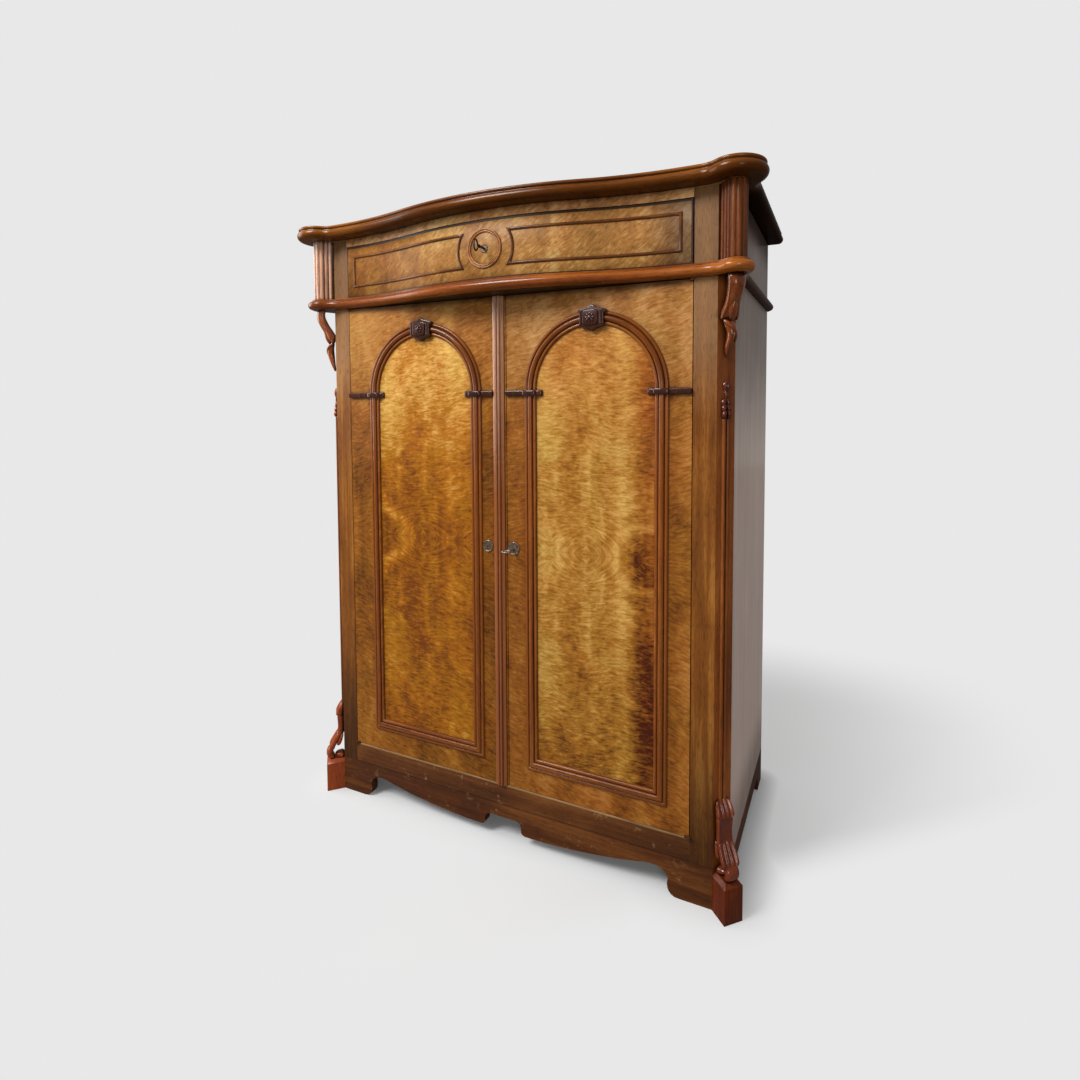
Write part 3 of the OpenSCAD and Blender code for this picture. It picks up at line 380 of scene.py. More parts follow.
# its reeds' crests are painted paler, as worn and as a painted highlight
BEAD_WOOD = polished_wood(
    "Stained wood of the door beads", ("42200a", "763c10", "a0622a"), "X", coat=0.15, crevice=0.6,
    source="Grain", shine=0.2, crest="985420")
# painted highlight: the astragal is paler towards its top, and its crests are paler as worn and as painted
# highlights
ASTRAGAL_WOOD = polished_wood(
    "Stained wood of the astragal, faded at the top", ("42200a", "763c10", "a0622a"), "X", coat=0.3,
    crevice=0.8, source="Grain", shine=0.3, tone_and_light=("X", 1.0, 1.5, "c8a080"), crest="94542c")
LINE_WOOD = polished_wood(
    "Dark stained wood of the drawer beads", ("2c1204", "5e3210", "90602c"), "X", coat=0.15, crevice=0.6,
    shine=0.2)
RING_WOOD = polished_wood(
    "Golden stained wood of the drawer ring", ("643410", "a86a34", "d89e62"), "X", coat=0.2, crevice=0.7,
    shine=0.2)
# carvings and corner work, redder and painted paler on the left as lit by the window; the brackets' crests
# are painted paler, as worn and as a painted highlight
CARVED_WOOD = polished_wood(
    "Stained carving wood", ("3c1202", "7c3c10", "a8602c"), rough=0.20, coat=0.5, crevice=0.85, deep=0.016,
    shine=0.2, tone_and_light=("X", -0.3, -1.5, "c87040"), crest="e0b090")
# painted light: paler and redder on the left, as lit by the window
FOOT_WOOD = polished_wood(
    "Red-stained wood of the foot scrolls and drops", ("3a0e02", "6a2a0a", "904a20"), rough=0.22, coat=0.45,
    crevice=0.8, deep=0.014, tone_and_light=("X", -0.3, -0.8, "b85424"))
# painted light: paler and redder on the left, as lit by the window
BLOCK_WOOD = polished_wood(
    "Red-stained wood of the foot blocks", ("320c02", "5e2408", "84401a"), rough=0.3, coat=0.12, crevice=0.4,
    shine=0.12, tone_and_light=("X", -0.3, -0.8, "c05c30"))
COLUMN_WOOD = polished_wood(
    "Stained column wood", ("2e1004", "64300c", "925222"), coat=0.15, crevice=0.8, shine=0.15)
# painted light: the left column's copy of the column wood, painted pale for the window's light and its
# reflection on the reeds
WINDOW_LIT_COLUMN_WOOD = polished_wood(
    "Stained column wood painted pale with the window's light", ("744024", "d4a080", "fce4d4"), spread=0.35, rough=0.22,
    coat=1.0, crevice=0.95, deep=0.012, bloom=0.4)
DARK_WOOD = polished_wood(
    "Blackened keystone wood", ("1a0803", "3a180a", "603018"), rough=0.24, coat=0.5, crevice=0.7, shine=0.2)
# softwood inside, never polished: pale, streaky and without gloss
INNER_WOOD = polished_wood("Bare softwood inside", ("8c6636", "b18c54", "caa978"), "X", spread=0.5, rough=0.6)
DEEP_WOOD = polished_wood(
    "Bare softwood that runs front to back", ("8c6636", "b18c54", "caa978"), "Y", spread=0.5, rough=0.6)
BACK_WOOD = polished_wood(
    "Bare softwood of the back", ("7c5a32", "9c7848", "b89468"), spread=0.5, rough=0.65)
# iron gone brown or black with age, brighter on the key that is handled
IRON = aged_metal("Brown aged iron", "463830", "96806c", 0.36)
RUST_IRON = aged_metal("Rust-brown iron of the pivots", "4a2c16", "74482a", 0.6)
DARK_IRON = aged_metal("Blackened iron of the drawer key", "1e1612", "54443a", 0.36)
KEY_IRON = aged_metal("Handled iron of the keys", "6a5a50", "d0c0b4", 0.28)


# The nodes that no finer piece replaces
for finish, names in (
        (CASE_WOOD, ["left_stile", "right_stile"]),
        (POST_WOOD, ["canted_posts"]),
        (RAIL_WOOD, ["waist_rail", "frieze_rail", "drawer_front"]),
        (SIDE_WOOD, ["left_side_panel", "right_side_panel"]),
        (BASE_WOOD, ["base_rail"]),
        (PLINTH_WOOD, ["plinth_front", "plinth_sides"]),
        (LEFT_VENEER, ["left_door_panel"]),
        (RIGHT_VENEER, ["right_door_panel"]),
        (LEFT_FRAME, ["left_door_frame"]),
        (RIGHT_FRAME, ["right_door_frame"]),
        (INNER_WOOD, ["bottom_board", "dust_board", "top_board", "lower_shelf", "middle_shelf", "upper_shelf",
                      "drawer_bottom"]),
        (DEEP_WOOD, ["drawer_runners", "shelf_battens", "drawer_box"]),
        (BACK_WOOD, ["back_panel", "plinth_back"]),
        (RUST_IRON, ["pivot_plates", "left_door_pivots", "right_door_pivots"]),
        (IRON, ["left_door_ironwork", "door_lock_case", "drawer_lock_case", "upper_bolt", "lower_bolt",
                "door_lock_bolt", "drawer_lock_bolt", "left_escutcheon", "right_escutcheon"])):
    for name in names:
        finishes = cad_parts[name].data.materials
        finishes.clear()
        finishes.append(finish)


# Shapes

def finish_piece(bm, name, material, body, nodes=(), smooth=40, grain=None):
    """Turns a bmesh into a piece of the object; grain gives each point its place along the grain."""
    bmesh.ops.recalc_face_normals(bm, faces=bm.faces)
    if not bm.verts.layers.float_vector.get("grain"):
        layer = bm.verts.layers.float_vector.new("grain")
        for vert in bm.verts:
            vert[layer] = grain(vert.co) if grain else vert.co
    data = bpy.data.meshes.new(name)
    bm.to_mesh(data)
    bm.free()
    made = bpy.data.objects.new(name, data)
    bpy.context.scene.collection.objects.link(made)
    data.materials.append(material)
    data.shade_smooth()
    data.set_sharp_from_angle(angle=math.radians(smooth))
    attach(made, body)
    if nodes:
        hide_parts(*nodes)
    return made


def arc(cx, cy, r, start, end, steps):
    """Points along an arc between two angles in degrees."""
    angles = [math.radians(start + (end - start) * i / steps) for i in range(steps + 1)]
    return [(cx + r * math.cos(a), cy + r * math.sin(a)) for a in angles]


def ring(bm, points):
    """A closed loop of edges through the points."""
    verts = [bm.verts.new(p) for p in points]
    return [bm.edges.new((a, b)) for a, b in zip(verts, verts[1:] + verts[:1])]


def line(bm, points):
    """An open run of edges through the points."""
    verts = [bm.verts.new(p) for p in points]
    return [bm.edges.new((a, b)) for a, b in zip(verts, verts[1:])]


def mirror_outline(half):
    """Half an outline and its mirror image across x = 0."""
    return half + [(-x, z) for x, z in reversed(half) if abs(x) > 1e-9]


def prism(bm, points, travel):
    """A flat outline drawn out by the vector travel."""
    face = bm.faces.new([bm.verts.new(p) for p in points])
    pulled = bmesh.ops.extrude_face_region(bm, geom=[face], use_keep_orig=True)
    moved = [v for v in pulled["geom"] if isinstance(v, bmesh.types.BMVert)]
    bmesh.ops.translate(bm, verts=moved, vec=travel)
    return moved


# Plan of the upper front: swell, hollow, corner lobe, hollow, side

SPAN = (DOOR_X ** 2 + BULGE ** 2) / (2 * BULGE)
ARC_R = SPAN / 2
ARC_PHI = math.degrees(math.asin(DOOR_X / SPAN))
DIAGONAL = math.sqrt(0.5)
LOBE = Vector((FLAT_X + CANT / 2 + DIAGONAL * (LOBE_REACH - LOBE_R),
               CANT / 2 - DIAGONAL * (LOBE_REACH - LOBE_R)))
NEAR = LOBE_R + HOLLOW_R
HOLLOW_A = Vector((LOBE.x - math.sqrt(NEAR ** 2 - (LOBE.y + STEP + HOLLOW_R) ** 2), -STEP - HOLLOW_R))
HOLLOW_B = Vector((HALF_W + HOLLOW_R, LOBE.y + math.sqrt(NEAR ** 2 - (HALF_W + HOLLOW_R - LOBE.x) ** 2)))
MEET_A = math.degrees(math.atan2(LOBE.y - HOLLOW_A.y, LOBE.x - HOLLOW_A.x)) - 180
MEET_B = math.degrees(math.atan2(HOLLOW_B.y - LOBE.y, HOLLOW_B.x - LOBE.x))


def heading(degrees):
    return Vector((math.cos(math.radians(degrees)), math.sin(math.radians(degrees))))


def bow_stations(steps):
    """Places (x, y, angle of the outward normal) from the middle to the right end of the swell."""
    places = []
    for i in range(steps + 1):
        a = -90 + ARC_PHI * i / steps
        p = heading(a) * ARC_R + Vector((0, ARC_R - BULGE - STEP))
        places.append((p.x, p.y, a))
    for i in range(1, steps + 1):
        a = -90 + ARC_PHI * (1 - i / steps)
        p = Vector((DOOR_X, -STEP - ARC_R)) - heading(a) * ARC_R
        places.append((p.x, p.y, a))
    return places


def corner_stations(steps):
    """Places round one hollow, the corner lobe and the other hollow, which touch where they meet."""
    places = []
    for centre, radius, first, last in ((HOLLOW_A, -HOLLOW_R, -90, MEET_A), (LOBE, LOBE_R, MEET_A, MEET_B),
                                        (HOLLOW_B, -HOLLOW_R, MEET_B, 0)):
        count = max(4, round(abs(last - first) / 180 * steps))
        for i in range(count + 1):
            a = first + (last - first) * i / count
            p = centre + heading(a) * radius
            if not places or math.dist(p, places[-1][:2]) > 1e-6:
                places.append((p.x, p.y, a))
    return places


def both_sides(half):
    """A run from the left end to the right end, from its right half."""
    return [(-x, y, 180 - a) for x, y, a in reversed(half[1:])] + half


FRONT_RUN = both_sides(bow_stations(24))
WHOLE_RUN = both_sides(bow_stations(24) + corner_stations(30) + [(HALF_W, BODY_D, 0)])


def station_matrix(place):
    """Puts a profile's (out, up) at a place of the run."""
    x, y, a = place
    return Matrix.Translation((x, y + SHIFT, 0)) @ Matrix.Rotation(math.radians(a), 4, "Z")


def sweep(name, profile, run, material, body, nodes=()):
    """Draws a closed profile of (out, up) along the run."""
    bm = bmesh.new()
    grain = bm.verts.layers.float_vector.new("grain")
    start = station_matrix(run[0])
    edges = ring(bm, [start @ Vector((o, 0, z)) for o, z in profile])
    distance = -sum(math.dist(a[:2], b[:2]) for a, b in zip(run, run[1:])) / 2
    for vert in bm.verts:
        vert[grain] = (distance, 0.0, vert.co.z)
    bm.faces.new([e.verts[0] for e in edges])
    for before, after in zip(run, run[1:]):
        pulled = bmesh.ops.extrude_edge_only(bm, edges=edges)["geom"]
        verts = [v for v in pulled if isinstance(v, bmesh.types.BMVert)]
        edges = [e for e in pulled if isinstance(e, bmesh.types.BMEdge)]
        bmesh.ops.transform(bm, matrix=station_matrix(after) @ station_matrix(before).inverted(), verts=verts)
        distance += math.dist(before[:2], after[:2])
        for vert in verts:
            vert[grain] = (distance, vert[grain][1], vert[grain][2])
    bmesh.ops.contextual_create(bm, geom=edges)
    return finish_piece(bm, name, material, body, nodes, smooth=35)


def raised(profile, height):
    return [(o, z + height) for o, z in profile]


# how far back the two mouldings are let into the case
SEAT = -0.0235
CORNICE = [(SEAT, 0.0003), (0, 0)] + arc(0.032, 0.014, 0.014, -90, 50, 18) \
    + [(0.0382, 0.0254), (0.0379, 0.0266), (0.0384, 0.0277)] + arc(0.0372, 0.0322, 0.0043, -60, 75, 8) \
    + [(0.0372, 0.037), (0, 0.037), (SEAT, 0.0364)]
WAIST = [(SEAT, 0.0003), (0, 0), (0.0045, 0)] + arc(0.007, 0.014, 0.012, -78, 78, 18) \
    + [(0.0072, 0.0266), (0.006, 0.0276), (0.006, 0.0314), (0.0055, WAIST_H), (0, WAIST_H), (SEAT, 0.0316)]
sweep("cornice_sweep", raised(CORNICE, FRIEZE_Z), WHOLE_RUN, CORNICE_WOOD, "carcase", ["cornice_moulding"])
sweep("waist_sweep", raised(WAIST, WAIST_Z), WHOLE_RUN, MOULD_WOOD, "carcase", ["waist_moulding"])

# Skins that turn the drawer's and the frieze's facets into one smooth swell
SKIN = 0.0004


def skin(name, low, high, reach, material, body):
    """A veneer between two heights that reaches as far out on both sides."""
    run = [s for s in FRONT_RUN if abs(s[0]) < reach - 0.001]
    run = [(-reach, -STEP, -90)] + run + [(reach, -STEP, -90)]
    profile = [(-0.001, low + 0.0004), (0, low), (SKIN, low + 0.0006), (SKIN, high - 0.0006), (0, high),
               (-0.001, high - 0.0004)]
    return sweep(name, profile, run, material, body, ())


skin("drawer_veneer", DECK_Z + 0.004, GAP_Z - 0.0075, DRAWER_X - 0.004, DRAWER_VENEER, "drawer")
skin("frieze_veneer", GAP_Z, FRIEZE_Z, DOOR_X, FRIEZE_VENEER, "carcase")


def swell_y(x):
    """y of the drawer's face at x, in the part's frame."""
    x = abs(x)
    if x < DOOR_X / 2:
        return ARC_R - BULGE - STEP - math.sqrt(ARC_R ** 2 - x ** 2) + SHIFT
    return math.sqrt(ARC_R ** 2 - (min(x, DOOR_X) - DOOR_X) ** 2) - STEP - ARC_R + SHIFT


# Beads: each profile point is (distance in from the outline, stand off the face)

def loft(bm, loops, close=True):
    """Bridges each loop of edges to the next, and the last to the first."""
    pairs = list(zip(loops, loops[1:] + loops[:1])) if close else list(zip(loops, loops[1:]))
    for a, b in pairs:
        bmesh.ops.bridge_loops(bm, edges=a + b)


def bead(width, height, steps=8):
    """Section of a bead: half an ellipse that starts at 0."""
    return [(width / 2 - width / 2 * math.cos(math.pi * i / steps), height * math.sin(math.pi * i / steps))
            for i in range(steps + 1)]


def drawer_outline(inset):
    """Outline of a drawer bead right of the ring: straight runs that end on an arc round the ring."""
    h, r, end = 0.0485 - inset, RING_R + 0.027 + inset, 0.516 - inset
    a = math.asin(h / r)
    near = r * math.cos(a)
    steps = 24
    points = [(end, -h), (end, h)] + [(end + (near - end) * i / steps, h) for i in range(1, steps)]
    points += arc(0, 0, r, math.degrees(a), -math.degrees(a), 12)
    return points + [(near + (end - near) * i / steps, -h) for i in range(1, steps)]


for side, sign in SIDES:
    bm = bmesh.new()
    loops = []
    rounded = [(0.0004 + t, h) for t, h in bead(BEAD_W - 0.0008, BEAD_OUT)]
    for inset, stand in [(0, 0)] + rounded + [(BEAD_W, 0)]:
        points = [(sign * x, swell_y(x) - stand, RING_Z - 0.0015 + z) for x, z in drawer_outline(inset)]
        loops.append(ring(bm, points))
    loft(bm, loops)
    finish_piece(bm, "drawer_bead_" + side, LINE_WOOD, "drawer", ["drawer_beads"])


def turned_ring(name, centre, profile, steps, material, body, nodes, bend=None):
    """Spins a profile of (radius, stand) round an axis along Y through centre."""
    bm = bmesh.new()
    edges = ring(bm, [(centre[0] + r, centre[1] - s, centre[2]) for r, s in profile])
    bmesh.ops.spin(bm, geom=bm.verts[:] + edges, cent=centre, axis=(0, 1, 0), angle=math.tau, steps=steps,
                   use_merge=True)
    if bend:
        for vert in bm.verts:
            vert.co.y += bend(vert.co.x) - bend(0)
    return finish_piece(bm, name, material, body, nodes)


RING_PROFILE = [(RING_R, 0), (RING_R, 0.0015)] \
    + [(RING_R - 0.0005 - t, 0.0015 + h) for t, h in bead(0.0055, 0.0032)] \
    + [(RING_R - 0.006 - t, 0.0018 + h) for t, h in bead(0.0045, 0.0022)][1:] \
    + [(RING_R - 0.011, 0.001), (RING_R - 0.011, 0)]
turned_ring("drawer_medallion", (0, FACE_Y + SHIFT, RING_Z), RING_PROFILE, 72, RING_WOOD, "drawer",
            ["drawer_ring"], swell_y)

# Door mouldings: a small bead, a bold reed and a small bead
REEDS = [(0, 0), (0, 0.0012)] + [(0.0004 + t, 0.0012 + h) for t, h in bead(0.0095, 0.0048)] \
    + [(0.0102 + t, 0.0008 + h) for t, h in bead(0.0156, 0.0092, 12)] \
    + [(0.0261 + t, 0.0012 + h) for t, h in bead(0.0095, 0.0048)] + [(MOULD_W, 0.0012), (MOULD_W, 0)]


def arch_piece(name, cx, first, last, body, node):
    """The reeds round an arch between two angles; the keystone covers the gap between its halves."""
    bm = bmesh.new()
    centre = Vector((cx, SHIFT, ARCH_Z))
    edges = ring(bm, [(cx + ARCH_R - t, SHIFT - h, ARCH_Z) for t, h in REEDS])
    bmesh.ops.rotate(bm, verts=bm.verts, cent=centre, matrix=Matrix.Rotation(-math.radians(first), 3, "Y"))
    bm.faces.new([e.verts[0] for e in edges])
    steps = max(12, round((last - first) / 2.5))
    out = bmesh.ops.spin(bm, geom=edges, cent=centre, axis=(0, -1, 0), angle=math.radians(last - first),
                         steps=steps)
    bmesh.ops.contextual_create(bm, geom=[e for e in out["geom_last"] if isinstance(e, bmesh.types.BMEdge)])

    def round_grain(p):
        return math.atan2(p.z - ARCH_Z, p.x - cx) * ARCH_R, p.y, math.hypot(p.z - ARCH_Z, p.x - cx)

    finish_piece(bm, name, BEAD_WOOD, body, [node], grain=round_grain)


def jamb_outline(cx, inset):
    """Down one jamb, along the sill and up the other jamb."""
    x, low = ARCH_R - inset, PANEL_LOW + inset
    top = ARCH_Z - CAPITAL_H
    return [(cx - x, top), (cx - x, low), (cx + x, low), (cx + x, top)]


def jamb_piece(name, cx, body, node):
    bm = bmesh.new()
    loops = [line(bm, [(x, SHIFT - h, z) for x, z in jamb_outline(cx, t)]) for t, h in REEDS]
    loft(bm, loops)
    bm.faces.new([loop[0].verts[0] for loop in loops])
    bm.faces.new([loop[-1].verts[1] for loop in loops])

    def mitred_grain(p):
        rise = p.z - PANEL_LOW
        return p if rise < MOULD_W and abs(p.x - cx) < ARCH_R - rise else (p.z, p.y, p.x)

    finish_piece(bm, name, BEAD_WOOD, body, [node], grain=mitred_grain)


for side, cx in (("left", ARCH_LEFT), ("right", ARCH_RIGHT)):
    body = side + "_door"
    arch_piece(side + "_arch_beads_a", cx, 0, 80, body, side + "_arch_moulding")
    arch_piece(side + "_arch_beads_b", cx, 100, 180, body, side + "_arch_moulding")
    jamb_piece(side + "_jamb_beads", cx, body, side + "_jamb_moulding")

# Astragal: two fine beads between sloping flanks, seated on the left leaf
ASTRAGAL = [(-0.0185, 0), (-0.0185, -0.003), (-0.0112, -0.0066), (-0.0103, -0.0066)] \
    + arc(-0.0056, -0.008, 0.004, 180, 350, 12) + arc(0.0036, -0.008, 0.004, 190, 360, 12) \
    + [(0.0083, -0.0066), (0.0092, -0.0066), (0.0165, -0.003), (0.0165, 0)]
ASTRAGAL_LOW, ASTRAGAL_TALL = 0.169, 1.383
bm = bmesh.new()
prism(bm, [(x, y + SHIFT, ASTRAGAL_LOW) for x, y in ASTRAGAL], (0, 0, ASTRAGAL_TALL))
finish_piece(bm, "astragal_beads", ASTRAGAL_WOOD, "left_door", ["astragal"], grain=lambda p: (p.z, p.y, p.x))


# Corner work, drawn as (out of the corner cut, along it, up)

def corner_matrix(sign):
    """Brings corner work to the right corner, or mirrors it to the left one."""
    turn = Matrix.Rotation(-math.pi / 4, 4, "Z")
    place = Matrix.Translation((FLAT_X + CANT / 2, CANT / 2 + SHIFT, 0)) @ turn
    return place if sign > 0 else Matrix.Scale(-1, 4, (1, 0, 0)) @ place


# twin beads between the foot scroll and the drop
BEADS_LOW, BEADS_TALL = 0.278, 0.939


def reeded_outline():
    """Plan of a corner column: reeds round its lobe and back along both flanks."""
    line_r, crest = LOBE_R - 0.006, 0.0063
    pitch = math.pi * line_r / 5
    reach = LOBE_REACH - LOBE_R
    reeds = [(reach - pitch * i, -line_r, -90) for i in (2, 1)]
    reeds += [(reach + line_r * math.cos(math.radians(a)), line_r * math.sin(math.radians(a)), a)
              for a in range(-90, 91, 36)]
    reeds += [(reach - pitch * i, line_r, 90) for i in (1, 2)]
    points = [(0, -line_r)]
    for x, y, turn in reeds:
        points += arc(x, y, crest, turn - 69, turn + 69, 9)
    return points + [(0, line_r)]


for side, sign in SIDES:
    place = corner_matrix(sign)
    bm = bmesh.new()
    prism(bm, [(x, y, DECK_Z) for x, y in reeded_outline()], (0, 0, FRIEZE_Z - DECK_Z))
    bm.transform(place)
    # the left column takes the copy of its wood that is painted pale with the window's light
    finish_piece(bm, "reeded_column_" + side, COLUMN_WOOD if sign > 0 else WINDOW_LIT_COLUMN_WOOD, "carcase",
                 ["corner_columns"], smooth=50)
    bm = bmesh.new()
    for v in (-0.0055, 0.0055):
        prism(bm, [(x, y, BEADS_LOW) for x, y in arc(0, v, 0.0053, -90, 90, 14)], (0, 0, BEADS_TALL))
    bm.transform(place)
    finish_piece(bm, "corner_twin_beads_" + side, POST_WOOD, "carcase", ["corner_beads"], smooth=50)


# Carvings: strokes along a path of (out, across, up) in mm, with a half-width, a relief and a depth behind it
# at each point, and one of these sections as (across, out)

# the drop's top, below the waist moulding's lower edge
DROP_BELOW = 0.245
CHANNEL = mirror_outline([(-1, -1), (-1, 0.35), (-0.86, 0.95), (-0.62, 0.85), (-0.3, 0.5)])
PETAL = mirror_outline([(-1, -1), (-0.9, 0.1), (-0.55, 0.75), (-0.18, 0.98), (0, 0.62)])
BELLY = mirror_outline([(-1, -1), (-0.96, 0.2), (-0.7, 0.75), (-0.35, 0.98)])
ROUND = mirror_outline([(-1, -1), (-0.98, 0.05), (-0.88, 0.42), (-0.66, 0.74), (-0.36, 0.93), (0, 1)])
FLUTED = mirror_outline([(-1, -1), (-1, 0.5), (-0.92, 0.95), (-0.74, 0.95), (-0.5, 0.25), (-0.3, 0.95),
                         (-0.2, 0.95), (0, 0.25)])


def stroke(bm, spots, section, mirror=False, rise=0.0):
    """Lofts a carved stroke; spots are (out, across, up from rise, half-width, relief, depth)."""
    flip = -1 if mirror else 1
    path = [Vector((u, flip * v, rise + z)) for u, v, z, *rest in spots]
    loops = []
    for i, (spot, here) in enumerate(zip(spots, path)):
        ahead = (path[min(i + 1, len(path) - 1)] - path[max(i - 1, 0)]).normalized()
        across = ahead.cross(Vector((1, 0, 0))).normalized()
        out = across.cross(ahead)
        width, relief, depth = spot[3:]
        points = [here + across * (width * a) + out * ((relief if n > 0 else depth) * n) for a, n in section]
        loops.append(ring(bm, [q * 0.001 for q in points]))
    loft(bm, loops, close=False)
    for loop in (loops[0], loops[-1]):
        bmesh.ops.contextual_create(bm, geom=loop)


def soften(made, levels):
    """Rounds a carving's facets."""
    fine = made.modifiers.new("soft carving", "SUBSURF")
    fine.levels = levels
    fine.render_levels = levels
    return made


def upper_scroll(bm):
    """Bracket under the waist: a strap with a petal and two ribs on it, and a tail with a fold."""
    top = WAIST_Z * 1000
    strap = [(35, 0, 3, 22, 11, 9), (38, 0, -8, 23, 16, 9), (39, 0, -22, 22, 17, 10),
             (34, 0, -38, 19.5, 15, 12), (27, 0, -55, 17, 13, 13), (21, 0, -68, 16, 11, 16),
             (17, 0, -80, 18.5, 9, 19), (14, 0, -90, 22, 8, 18), (9, 0, -98, 21, 6, 12),
             (4, 0, -102, 17, 3, 6)]
    stroke(bm, strap, ROUND, rise=top)
    cap = [(34, 0, -58, 5, 4, 4), (29, 0, -70, 11, 6, 6), (25, 0, -86, 13, 7, 8), (17, 0, -100, 8, 6, 8),
           (11, 0, -108, 3, 4, 6)]
    stroke(bm, cap, PETAL, rise=top)
    rib = [(38, 18, 0, 3, 3, 5), (41, 18.5, -12, 4, 4, 5), (40, 17.5, -28, 4, 4, 5), (33, 15, -46, 4, 4, 5),
           (25, 13.5, -64, 4, 4, 5), (19, 16, -80, 5, 5, 8), (14, 20, -94, 4, 4, 8), (8, 21, -103, 2, 2, 5)]
    for flip in (False, True):
        stroke(bm, rib, BELLY, flip, top)
    tail = [(5, -4, -97, 10, 4, 5), (13, -1, -108, 15, 6, 10), (19, 3, -122, 14, 7, 15),
            (19, 4, -138, 11, 7, 16), (15, 1, -153, 9, 6, 13), (10, -3, -168, 7.5, 5, 9),
            (6, -3, -180, 5, 4, 6), (2, 0, -191, 2, 3, 3)]
    stroke(bm, tail, PETAL, rise=top)
    fold = [(6, -15, -100, 3, 3, 5), (17, -12, -110, 5, 5, 9), (23, -4, -118, 5, 5, 9),
            (24, 6, -128, 5, 5, 9), (19, 14, -142, 4, 4, 9), (10, 15, -156, 2.5, 3, 6)]
    stroke(bm, fold, BELLY, rise=top)


def foot_scroll(bm):
    """Beaked shaft on a fluted slope that rolls over at the foot, with a curl on each side."""
    beak = [(1, 0, 281, 16, 3, 3), (5, 0, 273, 21, 5, 8), (11, 0, 262, 23, 6, 16), (17, 0, 250, 24, 6, 20),
            (21, 0, 241, 24.5, 5, 22)]
    stroke(bm, beak, FLUTED)
    body = [(17, 0, 246, 22, 4, 20), (16, 0, 232, 22, 4, 20), (15, 0, 215, 20.5, 4, 19),
            (14.5, 0, 198, 20.5, 4, 18), (16, 0, 182, 22, 4, 18), (20, 0, 168, 22, 4, 15)]
    stroke(bm, body, CHANNEL)
    slope = [(15, 0, 184, 20, 4, 14), (21, 0, 170, 22.5, 6, 13), (28, 0, 157, 24, 7, 11),
             (35, 0, 146, 24.5, 7, 12), (41, 0, 137, 24, 6, 14), (44, 0, 132, 21, 3, 16)]
    stroke(bm, slope, FLUTED)
    roll = [(27, 0, 136, 16, 3, 8), (37, 0, 136, 19, 6, 12), (46, 0, 129, 20, 7, 14), (50, 0, 118, 20, 7, 16),
            (47, 0, 107, 19, 6, 16), (39, 0, 101, 18, 4, 14), (30, 0, 99, 15, 2, 8)]
    stroke(bm, roll, BELLY)
    # the foot of the scroll curls back to the post
    sole = [(6, 0, 97, 17, 8, 6), (6, 0, 103, 20, 26, 7), (5, 0, 109, 18, 24, 6), (4, 0, 115, 12, 12, 4)]
    stroke(bm, sole, BELLY)
    curl = [(3, 17, 180, 3, 2, 3), (10, 20, 170, 4.5, 4, 7), (15, 21, 157, 5, 4, 9), (22, 21, 144, 4, 4, 8)]
    for flip in (False, True):
        stroke(bm, curl, BELLY, flip)


def corner_drop(bm):
    """A leaf, a bud and three pairs of scales, each pair lower and standing further out."""
    top = (WAIST_Z - DROP_BELOW) * 1000
    leaf = [(0.5, 0, 1, 3, 3, 0.4), (1, 0, -7, 10, 7, 0.6), (1, 0, -14, 12, 8, 0.6), (1, 0, -22, 8, 6, 0.6),
            (0.5, 0, -30, 3, 4, 0.4)]
    stroke(bm, leaf, PETAL, rise=top)
    bud = [(0.5, 0, -24, 4.5, 3, 0.4), (0.5, 0, -34, 6, 5, 0.4), (0.5, 0, -46, 5, 3, 0.4)]
    stroke(bm, bud, BELLY, rise=top)
    for i in range(3):
        scale = [(0.5 + i, 2, 0, 3, 3, 0.4 + i), (0.5 + i, 7, -8, 7.5, 6.5 + i, 0.4 + i),
                 (0.5 + i, 7.5, -15, 7, 6.5 + i, 0.4 + i), (0.5 + i, 4, -22, 3, 3, 0.4 + i)]
        for flip in (False, True):
            stroke(bm, scale, BELLY, flip, top - 42 - 14 * i)


for side, sign in SIDES:
    for title, carve, node, wood in (("upper_scroll", upper_scroll, "upper_scrolls", CARVED_WOOD),
                                     ("foot_scroll", foot_scroll, "foot_scrolls", FOOT_WOOD),
                                     ("corner_drop", corner_drop, "corner_drops", FOOT_WOOD)):
        bm = bmesh.new()
        carve(bm)
        bm.transform(corner_matrix(sign))
        soften(finish_piece(bm, title + "_" + side, wood, "carcase", [node], smooth=180), 2)
    # square block under the scroll, its top edges chamfered and its arrises eased
    bm = bmesh.new()
    half, out, high = 0.026, 0.054, FOOT_H
    prism(bm, [(0, -half, 0), (out, -half, 0), (out, half, 0), (0, half, 0)], (0, 0, high))
    rim = [e for e in bm.edges if all(v.co.z > high - 1e-5 for v in e.verts)
           and any(v.co.x > 1e-5 for v in e.verts)]
    bmesh.ops.bevel(bm, geom=rim, offset=0.009, affect="EDGES", segments=1, profile=0.5, material=-1)
    sharp = [e for e in bm.edges if len(e.link_faces) == 2 and e.calc_face_angle() > 0.5
             and all(v.co.x > 1e-5 for v in e.verts)]
    bmesh.ops.bevel(bm, geom=sharp, offset=0.0014, affect="EDGES", segments=2, profile=0.5, material=-1)
    bm.transform(corner_matrix(sign))
    finish_piece(bm, "foot_block_" + side, BLOCK_WOOD, "carcase", ["foot_blocks"], smooth=30)


# Keystones and capitals

def relief(bm, outline, y, thick, edge, segments=3):
    """A slab on the door's face with its front edge rounded over; outline is (x, z)."""
    front = prism(bm, [(x, y, z) for x, z in outline], (0, -thick, 0))
    rim = {e for v in front for e in v.link_edges if all(abs(w.co.y - y + thick) < 1e-6 for w in e.verts)}
    bmesh.ops.bevel(bm, geom=list(rim), offset=edge, affect="EDGES", segments=segments, profile=0.5,
                    material=-1)


